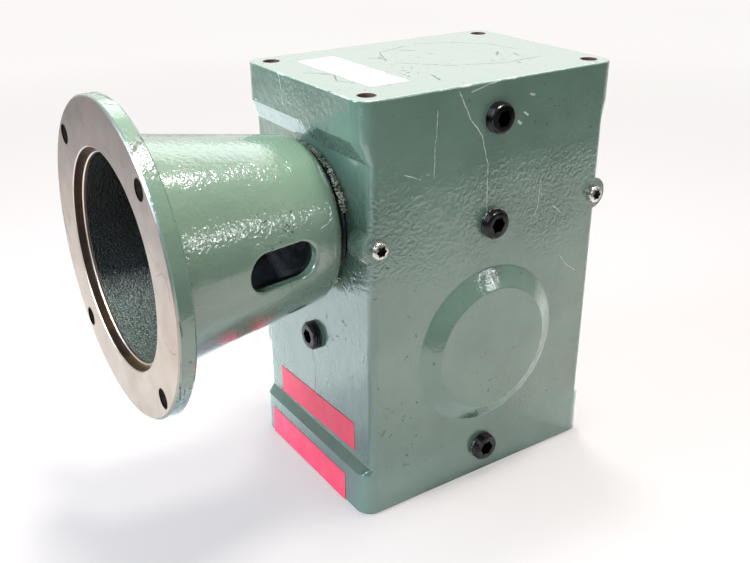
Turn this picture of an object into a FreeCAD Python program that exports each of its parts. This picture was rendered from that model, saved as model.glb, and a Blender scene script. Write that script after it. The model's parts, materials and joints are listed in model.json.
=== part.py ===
import FreeCAD, Part
import math
import os

# Right-angle worm gear speed reducer with a C-face motor adapter.
# Millimetres, +Z up. The origin is the centre of the housing's bottom face.
# X runs along the worm shaft, with the motor side at -X.
# Y runs along the output shaft, which leaves at +Y. The -Y face is the closed one.

# Shaft lines
wheel_axis_height = 90.5
centre_distance = 79.375
worm_axis_height = wheel_axis_height + centre_distance

# Housing block
housing_width = 173.0
housing_depth = 121.5
housing_height = 246.5
near_corner_radius = 10.0
far_band_corner_radius = 8.0
far_recess_corner_radius = 3.0
near_recess_corner_radius = 4.5
recess_depth = 5.5
bottom_band_height = 28.0
bottom_ledge_height = 3.5
top_band_height = 21.5
top_ledge_height = 11.3
top_edge_round = 1.0
bottom_edge_round = 2.5
edge_break = 1.2
side_wall = 10.5
closed_wall = 10.0
floor_thickness = 12.0
cavity_corner_radius = 8.0

# Raised round boss on the closed face
blind_boss_base_radius = 49.3
blind_boss_top_radius = 38.0
blind_boss_height = 6.4
blind_boss_round = 2.0
blind_boss_root_round = 2.5

# Tapped holes in the top and bottom faces
top_hole_radius = 4.7
base_hole_radius = 5.35
mounting_hole_depth = 22.0
mounting_hole_inset_x = 11.0
mounting_hole_inset_y = 11.4

# Gearing: a two-start right-hand worm and a forty-tooth wheel
axial_module = 3.0
worm_starts = 2
wheel_teeth = 40
pressure_angle = 20.0
worm_turns = 4
root_clearance = 0.6
flank_backlash = 0.24
wheel_face_width = 30.0
wheel_outer_radius = 65.0
wheel_joint_radius = 47.0
hub_radius = 32.0
hub_length = 48.0
hub_relief_depth = 6.0
hub_relief_inner_radius = 34.0
hub_relief_outer_radius = 42.0
wheel_pin_radius = 3.0
wheel_pin_length = 14.0
wheel_pin_count = 6

# Tapered roller bearings: bore radius, outer radius, total width, inner ring width, outer ring width.
# A roller's radius is a share of the section between bore and outside, its length one of the outer
# ring's width, and its middle one of the inner ring's width.
worm_bearing_bore = 15.0
worm_bearing_outer = 31.0
worm_bearing_width = 17.25
worm_cone_width = 16.0
worm_cup_width = 14.0
worm_roller_count = 15
output_bearing_bore = 20.0
output_bearing_outer = 40.0
output_bearing_width = 19.75
output_cone_width = 18.0
output_cup_width = 16.0
output_roller_count = 16
roller_tilt = 12.0
roller_half_taper = 2.0
cage_thickness = 1.2
cone_lip_height = 0.2
shaft_clearance = 1.0
roller_radius_share = 0.235
roller_length_share = 0.72
roller_middle_share = 0.51
cone_rib_share = 0.5
cage_lift_share = 0.35

# Worm shaft
worm_bearing_set_in = 11.75
worm_collar_radius = 18.0
worm_collar_length = 11.5
worm_seal_journal_radius = 11.0
worm_seal_journal_overrun = 7.0
input_shaft_radius = 9.525
input_shaft_set_back = 55.5
input_key_width = 4.7625
input_key_length = 28.0

# Output shaft
output_bearing_set_in = 3.75
wheel_seat_radius = 22.5
output_collar_radius = 26.0
output_shaft_radius = 19.05
output_shaft_length = 70.0
output_step_proud = 2.0
output_key_width = 9.525
output_key_length = 50.0
wheel_key_width = 12.7
wheel_key_height = 9.525
wheel_key_length = 40.0
journal_overrun = 0.8
shaft_chamfer = 1.2

# Motor adapter
adapter_length = 109.0
flange_radius = 82.55
flange_thickness = 9.0
flange_root_round = 5.0
register_radius = 57.15
register_depth = 4.2
bolt_circle_inset = 7.9375
flange_hole_radius = 5.15
flange_hole_count = 4
tube_radius_at_flange = 62.3
tube_radius_at_housing = 46.1
tube_end_round = 8.0
tube_standoff = 5.5
tube_wall = 9.0
seal_ring_swell = 1.0
adapter_mouth_radius = 53.9
mouth_edge_break = 0.7
web_set_in = 6.5
web_round = 6.0
slot_centre_from_flange = 69.6
slot_length = 40.5
slot_width = 20.7
slot_drop = 2.0
slot_edge_round = 1.5

# Threaded closures of the worm bore
closure_radius = 38.0
bore_boss_wall = 7.0
bore_boss_set_out = 5.0
closure_proud = 3.0
spot_face_gap = 0.4
closure_end_wall = 10.0
spanner_hole_radius = 4.0
spanner_hole_depth = 6.0
spanner_hole_offset = 22.0
ring_groove_set_in = 6.25
ring_groove_width = 3.2
ring_groove_depth = 2.2

# Lugs with the lock screws that hold the closures
lug_radius = 9.5
lug_inset = 4.2
lug_drop = 1.0
lock_screw_radius = 3.175
lock_head_radius = 5.0
lock_head_height = 3.8
lock_head_round = 1.9
lock_socket_radius = 2.9
lock_socket_core_radius = 2.3
lock_lobe_radius = 0.7
lock_lobe_count = 6
lock_socket_depth = 3.0

# Output cover
cover_half_width = 77.5
cover_corner_radius = 8.0
cover_sides = 8
cover_thickness = 8.0
cover_boss_height = 6.0
cover_boss_base_radius = 47.0
cover_boss_top_radius = 41.0
cover_spigot_length = 12.0
cover_opening_radius = 66.5
cover_wall = 18.0
cover_ring_radius = 82.0
cover_hub_radius = 50.0
cover_hub_set_out = 1.75
cover_gasket_thickness = 0.8
cover_screw_circle = 74.0
cover_screw_count = 8
cover_screw_radius = 3.97
cover_screw_clearance = 0.3
cover_screw_grip = 13.0
cover_head_flats = 12.7
cover_head_height = 5.4
cover_head_crown_radius = 6.0

# Oil seals
input_seal_radius = 17.5
input_seal_width = 7.0
output_seal_radius = 31.0
output_seal_width = 8.0
seal_wall = 1.2
seal_web_thickness = 2.2
seal_lip_wall = 1.8
seal_lip_set_in = 1.5

# Pipe plugs
plug_radius = 8.55
plug_length = 16.0
plug_proud = 5.0
plug_socket_flats = 7.94
plug_socket_depth = 8.0
plug_chamfer = 1.0
fill_plug_drop = 19.8
level_plug_drop = 2.9
drain_plug_height = 19.5
side_plug_height = 94.0
side_plug_offset = 1.0

# Fits
running_gap = 0.05
slip_gap = 0.1
thread_gap = 0.1
drill_overrun = 2.0

# Tolerance for finding edges
fine = 0.01

# Sizes worked out from the ones above
half_width = housing_width / 2
half_depth = housing_depth / 2
recess_face = half_width - recess_depth
cavity_half_width = recess_face - side_wall
cavity_half_depth = half_depth - closed_wall
axial_pitch = math.pi * axial_module
lead = axial_pitch * worm_starts
wheel_pitch_radius = axial_module * wheel_teeth / 2
wheel_base_radius = wheel_pitch_radius * math.cos(math.radians(pressure_angle))
worm_pitch_radius = centre_distance - wheel_pitch_radius
worm_tip_radius = worm_pitch_radius + axial_module
worm_root_radius = worm_pitch_radius - axial_module - root_clearance
worm_half_length = lead * worm_turns / 2
lead_angle_tangent = lead / (2 * math.pi * worm_pitch_radius)
throat_radius = worm_root_radius + root_clearance
hob_radius = worm_tip_radius + root_clearance
worm_cup_seat = recess_face - worm_bearing_set_in
worm_bearing_shoulder = worm_cup_seat - worm_bearing_width
bore_boss_inner_end = worm_bearing_shoulder + bore_boss_set_out
ring_groove_distance = worm_cup_seat - ring_groove_set_in
output_cup_seat = half_depth - output_bearing_set_in
output_bearing_shoulder = output_cup_seat - output_bearing_width
cover_hub_inner_end = output_bearing_shoulder + cover_hub_set_out
bolt_circle_radius = flange_radius - bolt_circle_inset
tube_end = recess_face + tube_standoff
flange_face = tube_end + adapter_length
web_face = tube_end + web_set_in
worm_seal_journal_end = web_face + worm_seal_journal_overrun
input_seal_inner_end = web_face - input_seal_width
input_shaft_end = flange_face - input_shaft_set_back
cover_face = half_depth + cover_gasket_thickness
cover_outer_face = cover_face + cover_thickness
cover_boss_face = cover_outer_face + cover_boss_height
output_seal_inner_end = cover_boss_face - output_seal_width
output_step = cover_boss_face + output_step_proud
output_shaft_end = output_step + output_shaft_length
lug_distance = recess_face - lug_inset
lug_height = worm_axis_height - lug_drop
closure_outer_face = recess_face + closure_proud
spot_face_radius = tube_radius_at_housing + spot_face_gap

X = FreeCAD.Vector(1, 0, 0)
Y = FreeCAD.Vector(0, 1, 0)
Z = FreeCAD.Vector(0, 0, 1)


def vector(x, y, z):
    return FreeCAD.Vector(x, y, z)


def closed_wire(points, place):
    """A closed outline. A point is (a, r), or (middle a, middle r, a, r) where an arc leads to it."""
    edges = []
    last = points[0]
    for point in points[1:] + points[:1]:
        end = point[-2:]
        if len(point) == 4:
            edges.append(Part.Arc(place(*last), place(*point[:2]), place(*end)).toShape())
        else:
            edges.append(Part.makeLine(place(*last), place(*end)))
        last = end
    return Part.Wire(edges)


def outward(solid):
    """The same solid with its faces turned outwards."""
    if solid.Volume < 0:
        solid.reverse()
    return solid


class ShaftLine:
    """A centre line. Distances along it count from the middle of the housing."""

    def __init__(self, height, along):
        self.base = vector(0, 0, height)
        self.along = along

    def point(self, distance, radius):
        return self.base + self.along * distance + Z * radius

    def turned(self, points):
        """A solid of revolution from (distance, radius) points."""
        face = Part.Face(closed_wire(points, self.point))
        return outward(face.revolve(self.base, self.along, 360).Solids[0])

    def rod(self, radius, start, end):
        low = min(start, end)
        return Part.makeCylinder(radius, abs(end - start), self.base + self.along * low, self.along)

    def spun(self, shape, angle):
        copy = shape.copy()
        copy.rotate(self.base, self.along, angle)
        return copy


worm_line = ShaftLine(worm_axis_height, X)
motor_line = ShaftLine(worm_axis_height, -X)
output_line = ShaftLine(wheel_axis_height, Y)


def edges_at(shape, direction, distance):
    """The edges of a shape that lie in the plane at a distance along a direction."""
    found = []
    for edge in shape.Edges:
        ends = [vertex.Point.dot(direction) for vertex in edge.Vertexes]
        ends.append(edge.CenterOfMass.dot(direction))
        if max(ends) - min(ends) < fine and abs(ends[0] - distance) < fine:
            found.append(edge)
    return found


def rod_y(radius, x, z, start, end):
    """A cylinder along Y."""
    return Part.makeCylinder(radius, abs(end - start), vector(x, min(start, end), z), Y)


def rod_z(radius, x, y, start, end):
    """A cylinder along Z."""
    return Part.makeCylinder(radius, abs(end - start), vector(x, y, min(start, end)), Z)


def box(low, high):
    """A block between two opposite corners."""
    size = vector(*high) - vector(*low)
    return Part.makeBox(size.x, size.y, size.z, vector(*low))


def polygon_prism(centre, direction, start, across_flats, sides, length, turn=0.0):
    """A regular prism about the line through centre along direction."""
    radius = across_flats / 2 / math.cos(math.pi / sides)
    side = start.cross(direction)
    corners = []
    for index in range(sides):
        angle = 2 * math.pi * index / sides + math.radians(turn)
        corners.append(centre + start * (radius * math.cos(angle)) + side * (radius * math.sin(angle)))
    face = Part.Face(Part.makePolygon(corners + corners[:1]))
    return outward(face.extrude(direction * length))


def mounting_holes_xy():
    """The four corner positions of the tapped holes, as (x, y)."""
    x = half_width - mounting_hole_inset_x
    y = half_depth - mounting_hole_inset_y
    return [(x, y), (-x, y), (-x, -y), (x, -y)]


def block_section(inset, far_radius, near_radius, height):
    """The housing's outline at one height, as a wire that the loft runs through."""
    arcs = []
    for quarter, radius in enumerate((far_radius, far_radius, near_radius, near_radius)):
        middle = math.radians(90 * quarter + 45)
        x = math.copysign(half_width - inset - radius, math.cos(middle))
        y = math.copysign(half_depth - radius, math.sin(middle))
        arc = []
        for degrees in (90 * quarter, 90 * quarter + 45, 90 * quarter + 90):
            angle = math.radians(degrees)
            arc.append(vector(x + radius * math.cos(angle), y + radius * math.sin(angle), height))
        arcs.append(arc)
    edges = []
    for quarter, arc in enumerate(arcs):
        edges.append(Part.Arc(*arc).toShape())
        edges.append(Part.makeLine(arc[2], arcs[(quarter + 1) % 4][0]))
    return Part.Wire(edges)


def housing_block():
    """The cast block: two full-width bands with the X faces sunk between them."""
    recess_bottom = bottom_band_height + bottom_ledge_height
    recess_top = housing_height - top_band_height - top_ledge_height
    band = (0, far_band_corner_radius, near_corner_radius)
    recess = (recess_depth, far_recess_corner_radius, near_recess_corner_radius)
    outlines = [
        block_section(*band, 0),
        block_section(*band, bottom_band_height),
        block_section(*recess, recess_bottom),
        block_section(*recess, recess_top),
        block_section(*band, housing_height - top_band_height),
        block_section(*band, housing_height),
    ]
    block = outward(Part.makeLoft(outlines, True, True))
    block = block.makeFillet(top_edge_round, edges_at(block, Z, housing_height))
    return block.makeFillet(bottom_edge_round, edges_at(block, Z, 0))


def housing_cavity():
    """The oil chamber, with the inner bosses left standing."""
    low = (-cavity_half_width, -cavity_half_depth, floor_thickness)
    high = (cavity_half_width, cavity_half_depth, housing_height - floor_thickness)
    chamber = box(low, high)
    chamber = chamber.makeFillet(cavity_corner_radius, chamber.Edges)
    bore_boss_radius = closure_radius + bore_boss_wall
    bosses = [
        worm_line.rod(bore_boss_radius, bore_boss_inner_end, recess_face),
        worm_line.rod(bore_boss_radius, -bore_boss_inner_end, -recess_face),
        output_line.rod(cover_hub_radius, -cover_hub_inner_end, -half_depth),
        output_line.rod(cover_ring_radius, half_depth - cover_wall, half_depth),
    ]
    return chamber.cut(bosses)


def lug(side):
    """The rounded ear beside the worm bore that the lock screw goes through."""
    return rod_y(lug_radius, side * lug_distance, lug_height, -half_depth, -closure_radius)


def housing():
    """The cast housing with its machined bores and tapped holes."""
    body = housing_block()
    boss = Part.makeCone(
        blind_boss_base_radius,
        blind_boss_top_radius,
        blind_boss_height,
        output_line.point(-half_depth, 0),
        -Y,
    )
    body = body.fuse(boss)
    body = body.makeFillet(blind_boss_round, edges_at(body, -Y, half_depth + blind_boss_height))
    root = [edge for edge in edges_at(body, -Y, half_depth)
            if edge.CenterOfMass.distanceToPoint(output_line.point(-half_depth, 0)) < fine]
    body = body.makeFillet(blind_boss_root_round, root)
    body = body.fuse([lug(-1), lug(1)])
    cuts = [
        housing_cavity(),
        output_line.rod(output_bearing_outer, -output_cup_seat, 0),
        output_line.rod(cover_opening_radius, 0, half_depth + drill_overrun),
    ]
    for side in (-1, 1):
        cuts.append(worm_line.rod(
            closure_radius + thread_gap, side * worm_bearing_shoulder, side * half_width))
        cuts.append(worm_line.rod(
            spot_face_radius, side * recess_face, side * (half_width + drill_overrun)))
        cuts.append(lock_screw_hole(side))
    for x, z in cover_screw_places():
        bottom = half_depth - cover_screw_grip - drill_overrun
        cuts.append(rod_y(cover_screw_radius, x, z, bottom, half_depth))
    return body.cut(cuts + mounting_holes() + plug_holes())


def lock_screw_hole(side):
    """The tapped hole through a lug into the worm bore."""
    inner_end = -closure_radius + drill_overrun
    return rod_y(lock_screw_radius + thread_gap, side * lug_distance, lug_height, -half_depth, inner_end)


def mounting_holes():
    """The tapped holes in the top and bottom faces."""
    holes = []
    for x, y in mounting_holes_xy():
        holes.append(rod_z(top_hole_radius, x, y, housing_height - mounting_hole_depth, housing_height))
        holes.append(rod_z(base_hole_radius, x, y, 0, mounting_hole_depth))
    return holes


def plug_places():
    """Name, outer end of the thread and outward direction of each pipe plug."""
    return [
        ("fill_plug", vector(0, -half_depth, housing_height - fill_plug_drop), -Y),
        ("level_plug", vector(0, -half_depth, worm_axis_height - level_plug_drop), -Y),
        ("drain_plug", vector(0, -half_depth, drain_plug_height), -Y),
        ("side_plug", vector(-recess_face, side_plug_offset, side_plug_height), -X),
    ]


def plug_holes():
    """Tapped holes for the pipe plugs, through to the chamber."""
    depth = plug_length - plug_proud + drill_overrun
    return [Part.makeCylinder(plug_radius, depth, seat, -out) for _, seat, out in plug_places()]


def pipe_plug(seat, out):
    """A tapered plug's plain form with a hexagon socket in its outer end."""
    base = seat - out * (plug_length - plug_proud)
    body = Part.makeCylinder(plug_radius, plug_length - plug_chamfer, base, out)
    tip = base + out * (plug_length - plug_chamfer)
    body = body.fuse(Part.makeCone(plug_radius, plug_radius - plug_chamfer, plug_chamfer, tip, out))
    top = base + out * plug_length
    socket = polygon_prism(top - out * plug_socket_depth, out, Z, plug_socket_flats, 6, plug_socket_depth)
    return body.cut(socket).removeSplitter()


def adapter_outer_radius(distance):
    """Radius of the cone-shaped tube at a distance from the housing's middle."""
    start = flange_face - flange_thickness
    share = (start - distance) / (start - tube_end)
    return tube_radius_at_flange + (tube_radius_at_housing - tube_radius_at_flange) * share


def arc_middle(centre, radius, degrees):
    """A point on a circle of the profile plane."""
    angle = math.radians(degrees)
    return (centre[0] + radius * math.cos(angle), centre[1] + radius * math.sin(angle))


def motor_adapter():
    """The cast bell between the motor's face and the housing, with its threaded spigot."""
    flange_back = flange_face - flange_thickness
    root = flange_root_round
    cone_start = flange_back - root
    cone_end = tube_end + tube_end_round
    cone_end_radius = adapter_outer_radius(cone_end)
    cone_start_radius = adapter_outer_radius(cone_start)
    end_mid = arc_middle((cone_end, cone_end_radius - tube_end_round), tube_end_round, 135)
    root_mid = arc_middle((cone_start, cone_start_radius + root), root, -45)
    mouth = flange_face - register_depth
    inner_end = web_face + web_round
    inner_end_radius = adapter_outer_radius(inner_end) - tube_wall
    web_mid = arc_middle((inner_end, inner_end_radius - web_round), web_round, 135)
    body = motor_line.turned([
        (flange_face, register_radius + edge_break / 2),
        (flange_face, flange_radius - edge_break),
        (flange_face - edge_break, flange_radius),
        (flange_back + edge_break, flange_radius),
        (flange_back, flange_radius - edge_break),
        (flange_back, cone_start_radius + root),
        (root_mid[0], root_mid[1], cone_start, cone_start_radius),
        (cone_end, cone_end_radius),
        (end_mid[0], end_mid[1], tube_end, cone_end_radius - tube_end_round),
        (tube_end, closure_radius),
        (worm_bearing_shoulder, closure_radius),
        (worm_bearing_shoulder, worm_bearing_outer),
        (worm_cup_seat, worm_bearing_outer),
        (worm_cup_seat, worm_bearing_bore + shaft_clearance),
        (input_seal_inner_end, worm_bearing_bore + shaft_clearance),
        (input_seal_inner_end, input_seal_radius),
        (web_face, input_seal_radius),
        (web_face, inner_end_radius - web_round),
        (web_mid[0], web_mid[1], inner_end, inner_end_radius),
        (mouth - mouth_edge_break, adapter_mouth_radius),
        (mouth, adapter_mouth_radius + mouth_edge_break),
        (mouth, register_radius),
        (flange_face - edge_break / 2, register_radius),
    ])
    body = body.cut(access_slot())
    body = body.makeFillet(slot_edge_round, slot_rim(body))
    hole = Part.makeCylinder(
        flange_hole_radius, flange_thickness, motor_line.point(flange_back, bolt_circle_radius), -X)
    step = 360 / flange_hole_count
    return body.cut([motor_line.spun(hole, step * (index + 0.5)) for index in range(flange_hole_count)])


def slot_rim(body):
    """The outer edges of the window, where its walls meet the outside of the tube."""
    middle = -(flange_face - slot_centre_from_flange)
    rim = []
    for edge in body.Edges:
        centre = edge.CenterOfMass
        near_slot = abs(centre.x - middle) < slot_length / 2 + fine
        radius = math.hypot(centre.y, centre.z - worm_axis_height)
        outside = radius > adapter_outer_radius(-centre.x) - tube_wall / 2
        if near_slot and outside and centre.y < 0 and abs(centre.z - worm_axis_height) < slot_width:
            rim.append(edge)
    return rim


def access_slot():
    """The round-ended window in the tube's -Y side, for reaching the shaft coupling."""
    middle = -(flange_face - slot_centre_from_flange)
    height = worm_axis_height - slot_drop
    reach = (slot_length - slot_width) / 2
    half = slot_width / 2
    ends = [rod_y(half, middle + side * reach, height, -flange_radius, -half) for side in (-1, 1)]
    low = (middle - reach, -flange_radius, height - half)
    high = (middle + reach, -half, height + half)
    return box(low, high).fuse(ends)


def end_closure():
    """The threaded plug that closes the far end of the worm bore and holds its outer ring."""
    groove = ring_groove_distance
    body = worm_line.turned([
        (worm_bearing_shoulder, worm_bearing_outer),
        (worm_bearing_shoulder, closure_radius),
        (groove, closure_radius),
        (groove, closure_radius - ring_groove_depth),
        (groove + ring_groove_width, closure_radius - ring_groove_depth),
        (groove + ring_groove_width, closure_radius),
        (closure_outer_face - edge_break, closure_radius),
        (closure_outer_face, closure_radius - edge_break),
        (closure_outer_face, 0),
        (closure_outer_face - closure_end_wall, 0),
        (closure_outer_face - closure_end_wall, worm_bearing_outer - bore_boss_wall),
        (worm_cup_seat, worm_bearing_outer - bore_boss_wall),
        (worm_cup_seat, worm_bearing_outer),
    ])
    holes = []
    for side in (-1, 1):
        centre = worm_line.point(closure_outer_face - spanner_hole_depth, side * spanner_hole_offset)
        holes.append(Part.makeCylinder(spanner_hole_radius, spanner_hole_depth, centre, X))
    return body.cut(holes)


def closure_ring():
    """The rubber ring in the closure's groove."""
    start = ring_groove_distance
    return worm_line.turned([
        (start, closure_radius - ring_groove_depth),
        (start + ring_groove_width, closure_radius - ring_groove_depth),
        (start + ring_groove_width, closure_radius + thread_gap),
        (start, closure_radius + thread_gap),
    ])


def adapter_seal_ring():
    """The ring squeezed between the tube's end and the housing."""
    radius = adapter_outer_radius(tube_end + tube_end_round) - tube_end_round
    return motor_line.turned([
        (recess_face, closure_radius),
        (tube_end, closure_radius),
        (tube_end, radius),
        (recess_face, radius + seal_ring_swell),
    ])


def lock_screws():
    """Button-head screws through the lugs against the two closures."""
    screws = []
    top = -half_depth - lock_head_height
    for side in (-1, 1):
        x = side * lug_distance
        shank = rod_y(lock_screw_radius, x, lug_height, -half_depth, -closure_radius)
        head = rod_y(lock_head_radius, x, lug_height, top, -half_depth)
        head = head.makeFillet(lock_head_round, edges_at(head, Y, top))
        cuts = [rod_y(lock_socket_core_radius, x, lug_height, top, top + lock_socket_depth)]
        reach = lock_socket_radius - lock_lobe_radius
        for index in range(lock_lobe_count):
            angle = 2 * math.pi * index / lock_lobe_count
            lobe_x = x + reach * math.cos(angle)
            lobe_z = lug_height + reach * math.sin(angle)
            cuts.append(rod_y(lock_lobe_radius, lobe_x, lobe_z, top, top + lock_socket_depth))
        screws.append(shank.fuse(head).cut(cuts))
    return screws


def octagon(distance, half_width_across, corner, length):
    """A rounded octagonal plate on the output side, from one distance along the shaft."""
    centre = output_line.point(distance, 0)
    plate = polygon_prism(centre, Y, Z, 2 * half_width_across, cover_sides, length, 180 / cover_sides)
    upright = [edge for edge in plate.Edges if abs(edge.tangentAt(edge.FirstParameter).y) > 1 - fine]
    return plate.makeFillet(corner, upright)


def cover_screw_places():
    """Centres of the cover screws, one near each corner of the octagon, as (x, z)."""
    places = []
    for index in range(cover_screw_count):
        angle = math.radians(360 / cover_screw_count * (index + 0.5))
        places.append((cover_screw_circle * math.cos(angle),
                       wheel_axis_height + cover_screw_circle * math.sin(angle)))
    return places


def output_cover():
    """The octagonal cover with the bearing seat and the oil seal's seat of the output side."""
    spigot = cover_opening_radius - slip_gap
    spigot_end = cover_face - cover_spigot_length
    body = output_line.turned([
        (cover_hub_inner_end, output_bearing_outer),
        (cover_hub_inner_end, cover_hub_radius),
        (spigot_end, cover_hub_radius),
        (spigot_end, spigot - edge_break),
        (spigot_end + edge_break, spigot),
        (cover_outer_face - edge_break, spigot),
        (cover_outer_face - edge_break, cover_boss_base_radius),
        (cover_outer_face, cover_boss_base_radius),
        (cover_boss_face, cover_boss_top_radius),
        (cover_boss_face, output_seal_radius),
        (output_seal_inner_end, output_seal_radius),
        (output_seal_inner_end, output_bearing_bore + shaft_clearance),
        (output_cup_seat, output_bearing_bore + shaft_clearance),
        (output_cup_seat, output_bearing_outer),
    ])
    plate = octagon(cover_face, cover_half_width, cover_corner_radius, cover_thickness)
    plate = plate.makeChamfer(edge_break, edges_at(plate, Y, cover_outer_face))
    plate = plate.cut(output_line.rod(output_seal_radius + output_seal_width, cover_face, cover_outer_face))
    body = body.fuse(plate)
    holes = [rod_y(cover_screw_radius + cover_screw_clearance, x, z, cover_face, cover_outer_face)
             for x, z in cover_screw_places()]
    return body.cut(holes)


def cover_gasket():
    """The flat gasket under the cover's rim."""
    plate = octagon(half_depth, cover_half_width, cover_corner_radius, cover_gasket_thickness)
    cuts = [output_line.rod(cover_opening_radius, half_depth, cover_face)]
    cuts += [rod_y(cover_screw_radius + cover_screw_clearance, x, z, half_depth, cover_face)
             for x, z in cover_screw_places()]
    return plate.cut(cuts)


def cover_screws():
    """Hexagon-head screws around the cover."""
    screws = []
    for x, z in cover_screw_places():
        shank = rod_y(cover_screw_radius, x, z, half_depth - cover_screw_grip, cover_outer_face)
        head = polygon_prism(vector(x, cover_outer_face, z), Y, Z, cover_head_flats, 6, cover_head_height)
        dome = Part.makeCone(
            cover_head_crown_radius + cover_head_height,
            cover_head_crown_radius,
            cover_head_height,
            vector(x, cover_outer_face, z),
            Y,
        )
        screws.append(shank.fuse(head.common(dome)))
    return screws


def oil_seal(line, shaft_radius, outer_radius, start, end):
    """A lip seal: a channel-shaped ring, open towards the oil, whose inner edge runs on the shaft."""
    inner = shaft_radius + running_gap
    outwards = math.copysign(1, end - start)
    web = end - outwards * seal_web_thickness
    lip = start + outwards * seal_lip_set_in
    return line.turned([
        (end, inner),
        (end, outer_radius),
        (start, outer_radius),
        (start, outer_radius - seal_wall),
        (web, outer_radius - seal_wall),
        (web, inner + seal_lip_wall),
        (lip, inner + seal_lip_wall),
        (lip, inner),
    ])


class TaperedBearing:
    """A single-row tapered roller bearing on a shaft line, with its back face at a shoulder."""

    def __init__(self, line, side, shoulder, bore, outer, width, cone_width, cup_width, count):
        self.line = line
        self.side = side
        self.shoulder = shoulder
        self.bore = bore
        self.outer = outer
        self.width = width
        self.cone_width = cone_width
        self.cup_width = cup_width
        self.count = count
        section = outer - bore
        self.middle_radius = (outer + bore) / 2
        self.roller_radius = section * roller_radius_share
        self.roller_length = cup_width * roller_length_share
        self.tilt = math.radians(roller_tilt)
        self.taper = math.radians(roller_half_taper)
        self.middle = cone_width * roller_middle_share

    def place(self, point):
        """Local distance from the shoulder to distance along the shaft line."""
        if len(point) == 4:
            return (self.side * (self.shoulder + point[0]), point[1],
                    self.side * (self.shoulder + point[2]), point[3])
        return (self.side * (self.shoulder + point[0]), point[1])

    def turned(self, points):
        return self.line.turned([self.place(point) for point in points])

    def race_radius(self, distance, direction):
        """Raceway radius, on the outer (1) or the inner (-1) side of the rollers."""
        slope = math.tan(self.tilt + direction * self.taper)
        reach = (self.roller_radius + running_gap) / math.cos(self.tilt + direction * self.taper)
        return self.middle_radius + direction * reach - (distance - self.middle) * slope

    def cup(self):
        """The outer ring."""
        start = self.width - self.cup_width
        return self.turned([
            (start, self.outer),
            (self.width, self.outer),
            (self.width, self.race_radius(self.width, 1)),
            (start, self.race_radius(start, 1)),
        ])

    def cone(self):
        """The inner ring, with a rib at each end of its raceway."""
        half = self.roller_length / 2
        large_end = self.middle - half * math.cos(self.tilt)
        small_end = self.middle + half * math.cos(self.tilt)
        rib = large_end - (self.roller_radius + half * math.tan(self.taper)) * math.sin(self.tilt) - slip_gap
        lip = small_end + slip_gap
        rib_height = self.race_radius(rib, -1) + self.roller_radius * cone_rib_share
        lip_height = self.race_radius(lip, -1) + cone_lip_height
        return self.turned([
            (0, self.bore),
            (0, rib_height),
            (rib, rib_height),
            (rib, self.race_radius(rib, -1)),
            (lip, self.race_radius(lip, -1)),
            (lip, lip_height),
            (self.cone_width, lip_height),
            (self.cone_width, self.bore),
        ])

    def roller_body(self, extra):
        """One tapered roller at the top of the bearing, grown by extra all round."""
        half = self.roller_length / 2 + extra
        direction = self.line.along * (self.side * math.cos(self.tilt)) - Z * math.sin(self.tilt)
        centre = self.line.point(self.side * (self.shoulder + self.middle), self.middle_radius)
        spread = half * math.tan(self.taper)
        base = centre - direction * half
        return Part.makeCone(
            self.roller_radius + spread + extra,
            self.roller_radius - spread + extra,
            2 * half,
            base,
            direction,
        )

    def rollers(self):
        """All the rollers, spaced evenly."""
        roller = self.roller_body(0)
        return [self.line.spun(roller, 360 / self.count * index) for index in range(self.count)]

    def cage(self):
        """The pressed cage that spaces the rollers."""
        half = (self.roller_length / 2 + slip_gap) * math.cos(self.tilt) + cage_thickness
        lift = self.roller_radius * cage_lift_share
        slope = math.tan(self.tilt)
        start = self.middle - half
        end = self.middle + half
        start_radius = self.middle_radius + lift + half * slope
        end_radius = self.middle_radius + lift - half * slope
        ring = self.turned([
            (start, start_radius),
            (end, end_radius),
            (end, end_radius + cage_thickness),
            (start, start_radius + cage_thickness),
        ])
        pocket = self.roller_body(slip_gap)
        return ring.cut([self.line.spun(pocket, 360 / self.count * index) for index in range(self.count)])


def worm_bearing(side):
    return TaperedBearing(
        worm_line, side, worm_bearing_shoulder, worm_bearing_bore, worm_bearing_outer,
        worm_bearing_width, worm_cone_width, worm_cup_width, worm_roller_count,
    )


def output_bearing(side):
    return TaperedBearing(
        output_line, side, output_bearing_shoulder, output_bearing_bore, output_bearing_outer,
        output_bearing_width, output_cone_width, output_cup_width, output_roller_count,
    )


def worm_thread():
    """One start of the worm thread, sunk a little into the core, about the local Z axis."""
    sink = root_clearance
    low = worm_root_radius - sink
    slope = math.tan(math.radians(pressure_angle))
    half_at_pitch = (axial_pitch - flank_backlash) / 4
    half_low = half_at_pitch + (worm_pitch_radius - low) * slope
    half_tip = half_at_pitch - axial_module * slope
    start = -worm_half_length
    corners = [
        vector(low, 0, start - half_low),
        vector(worm_tip_radius, 0, start - half_tip),
        vector(worm_tip_radius, 0, start + half_tip),
        vector(low, 0, start + half_low),
    ]
    profile = Part.makePolygon(corners + corners[:1])
    helix = Part.makeHelix(lead, 2 * worm_half_length, worm_pitch_radius)
    helix.translate(vector(0, 0, start))
    return outward(Part.Wire(helix.Edges).makePipeShell([profile], True, True).Solids[0])


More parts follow.
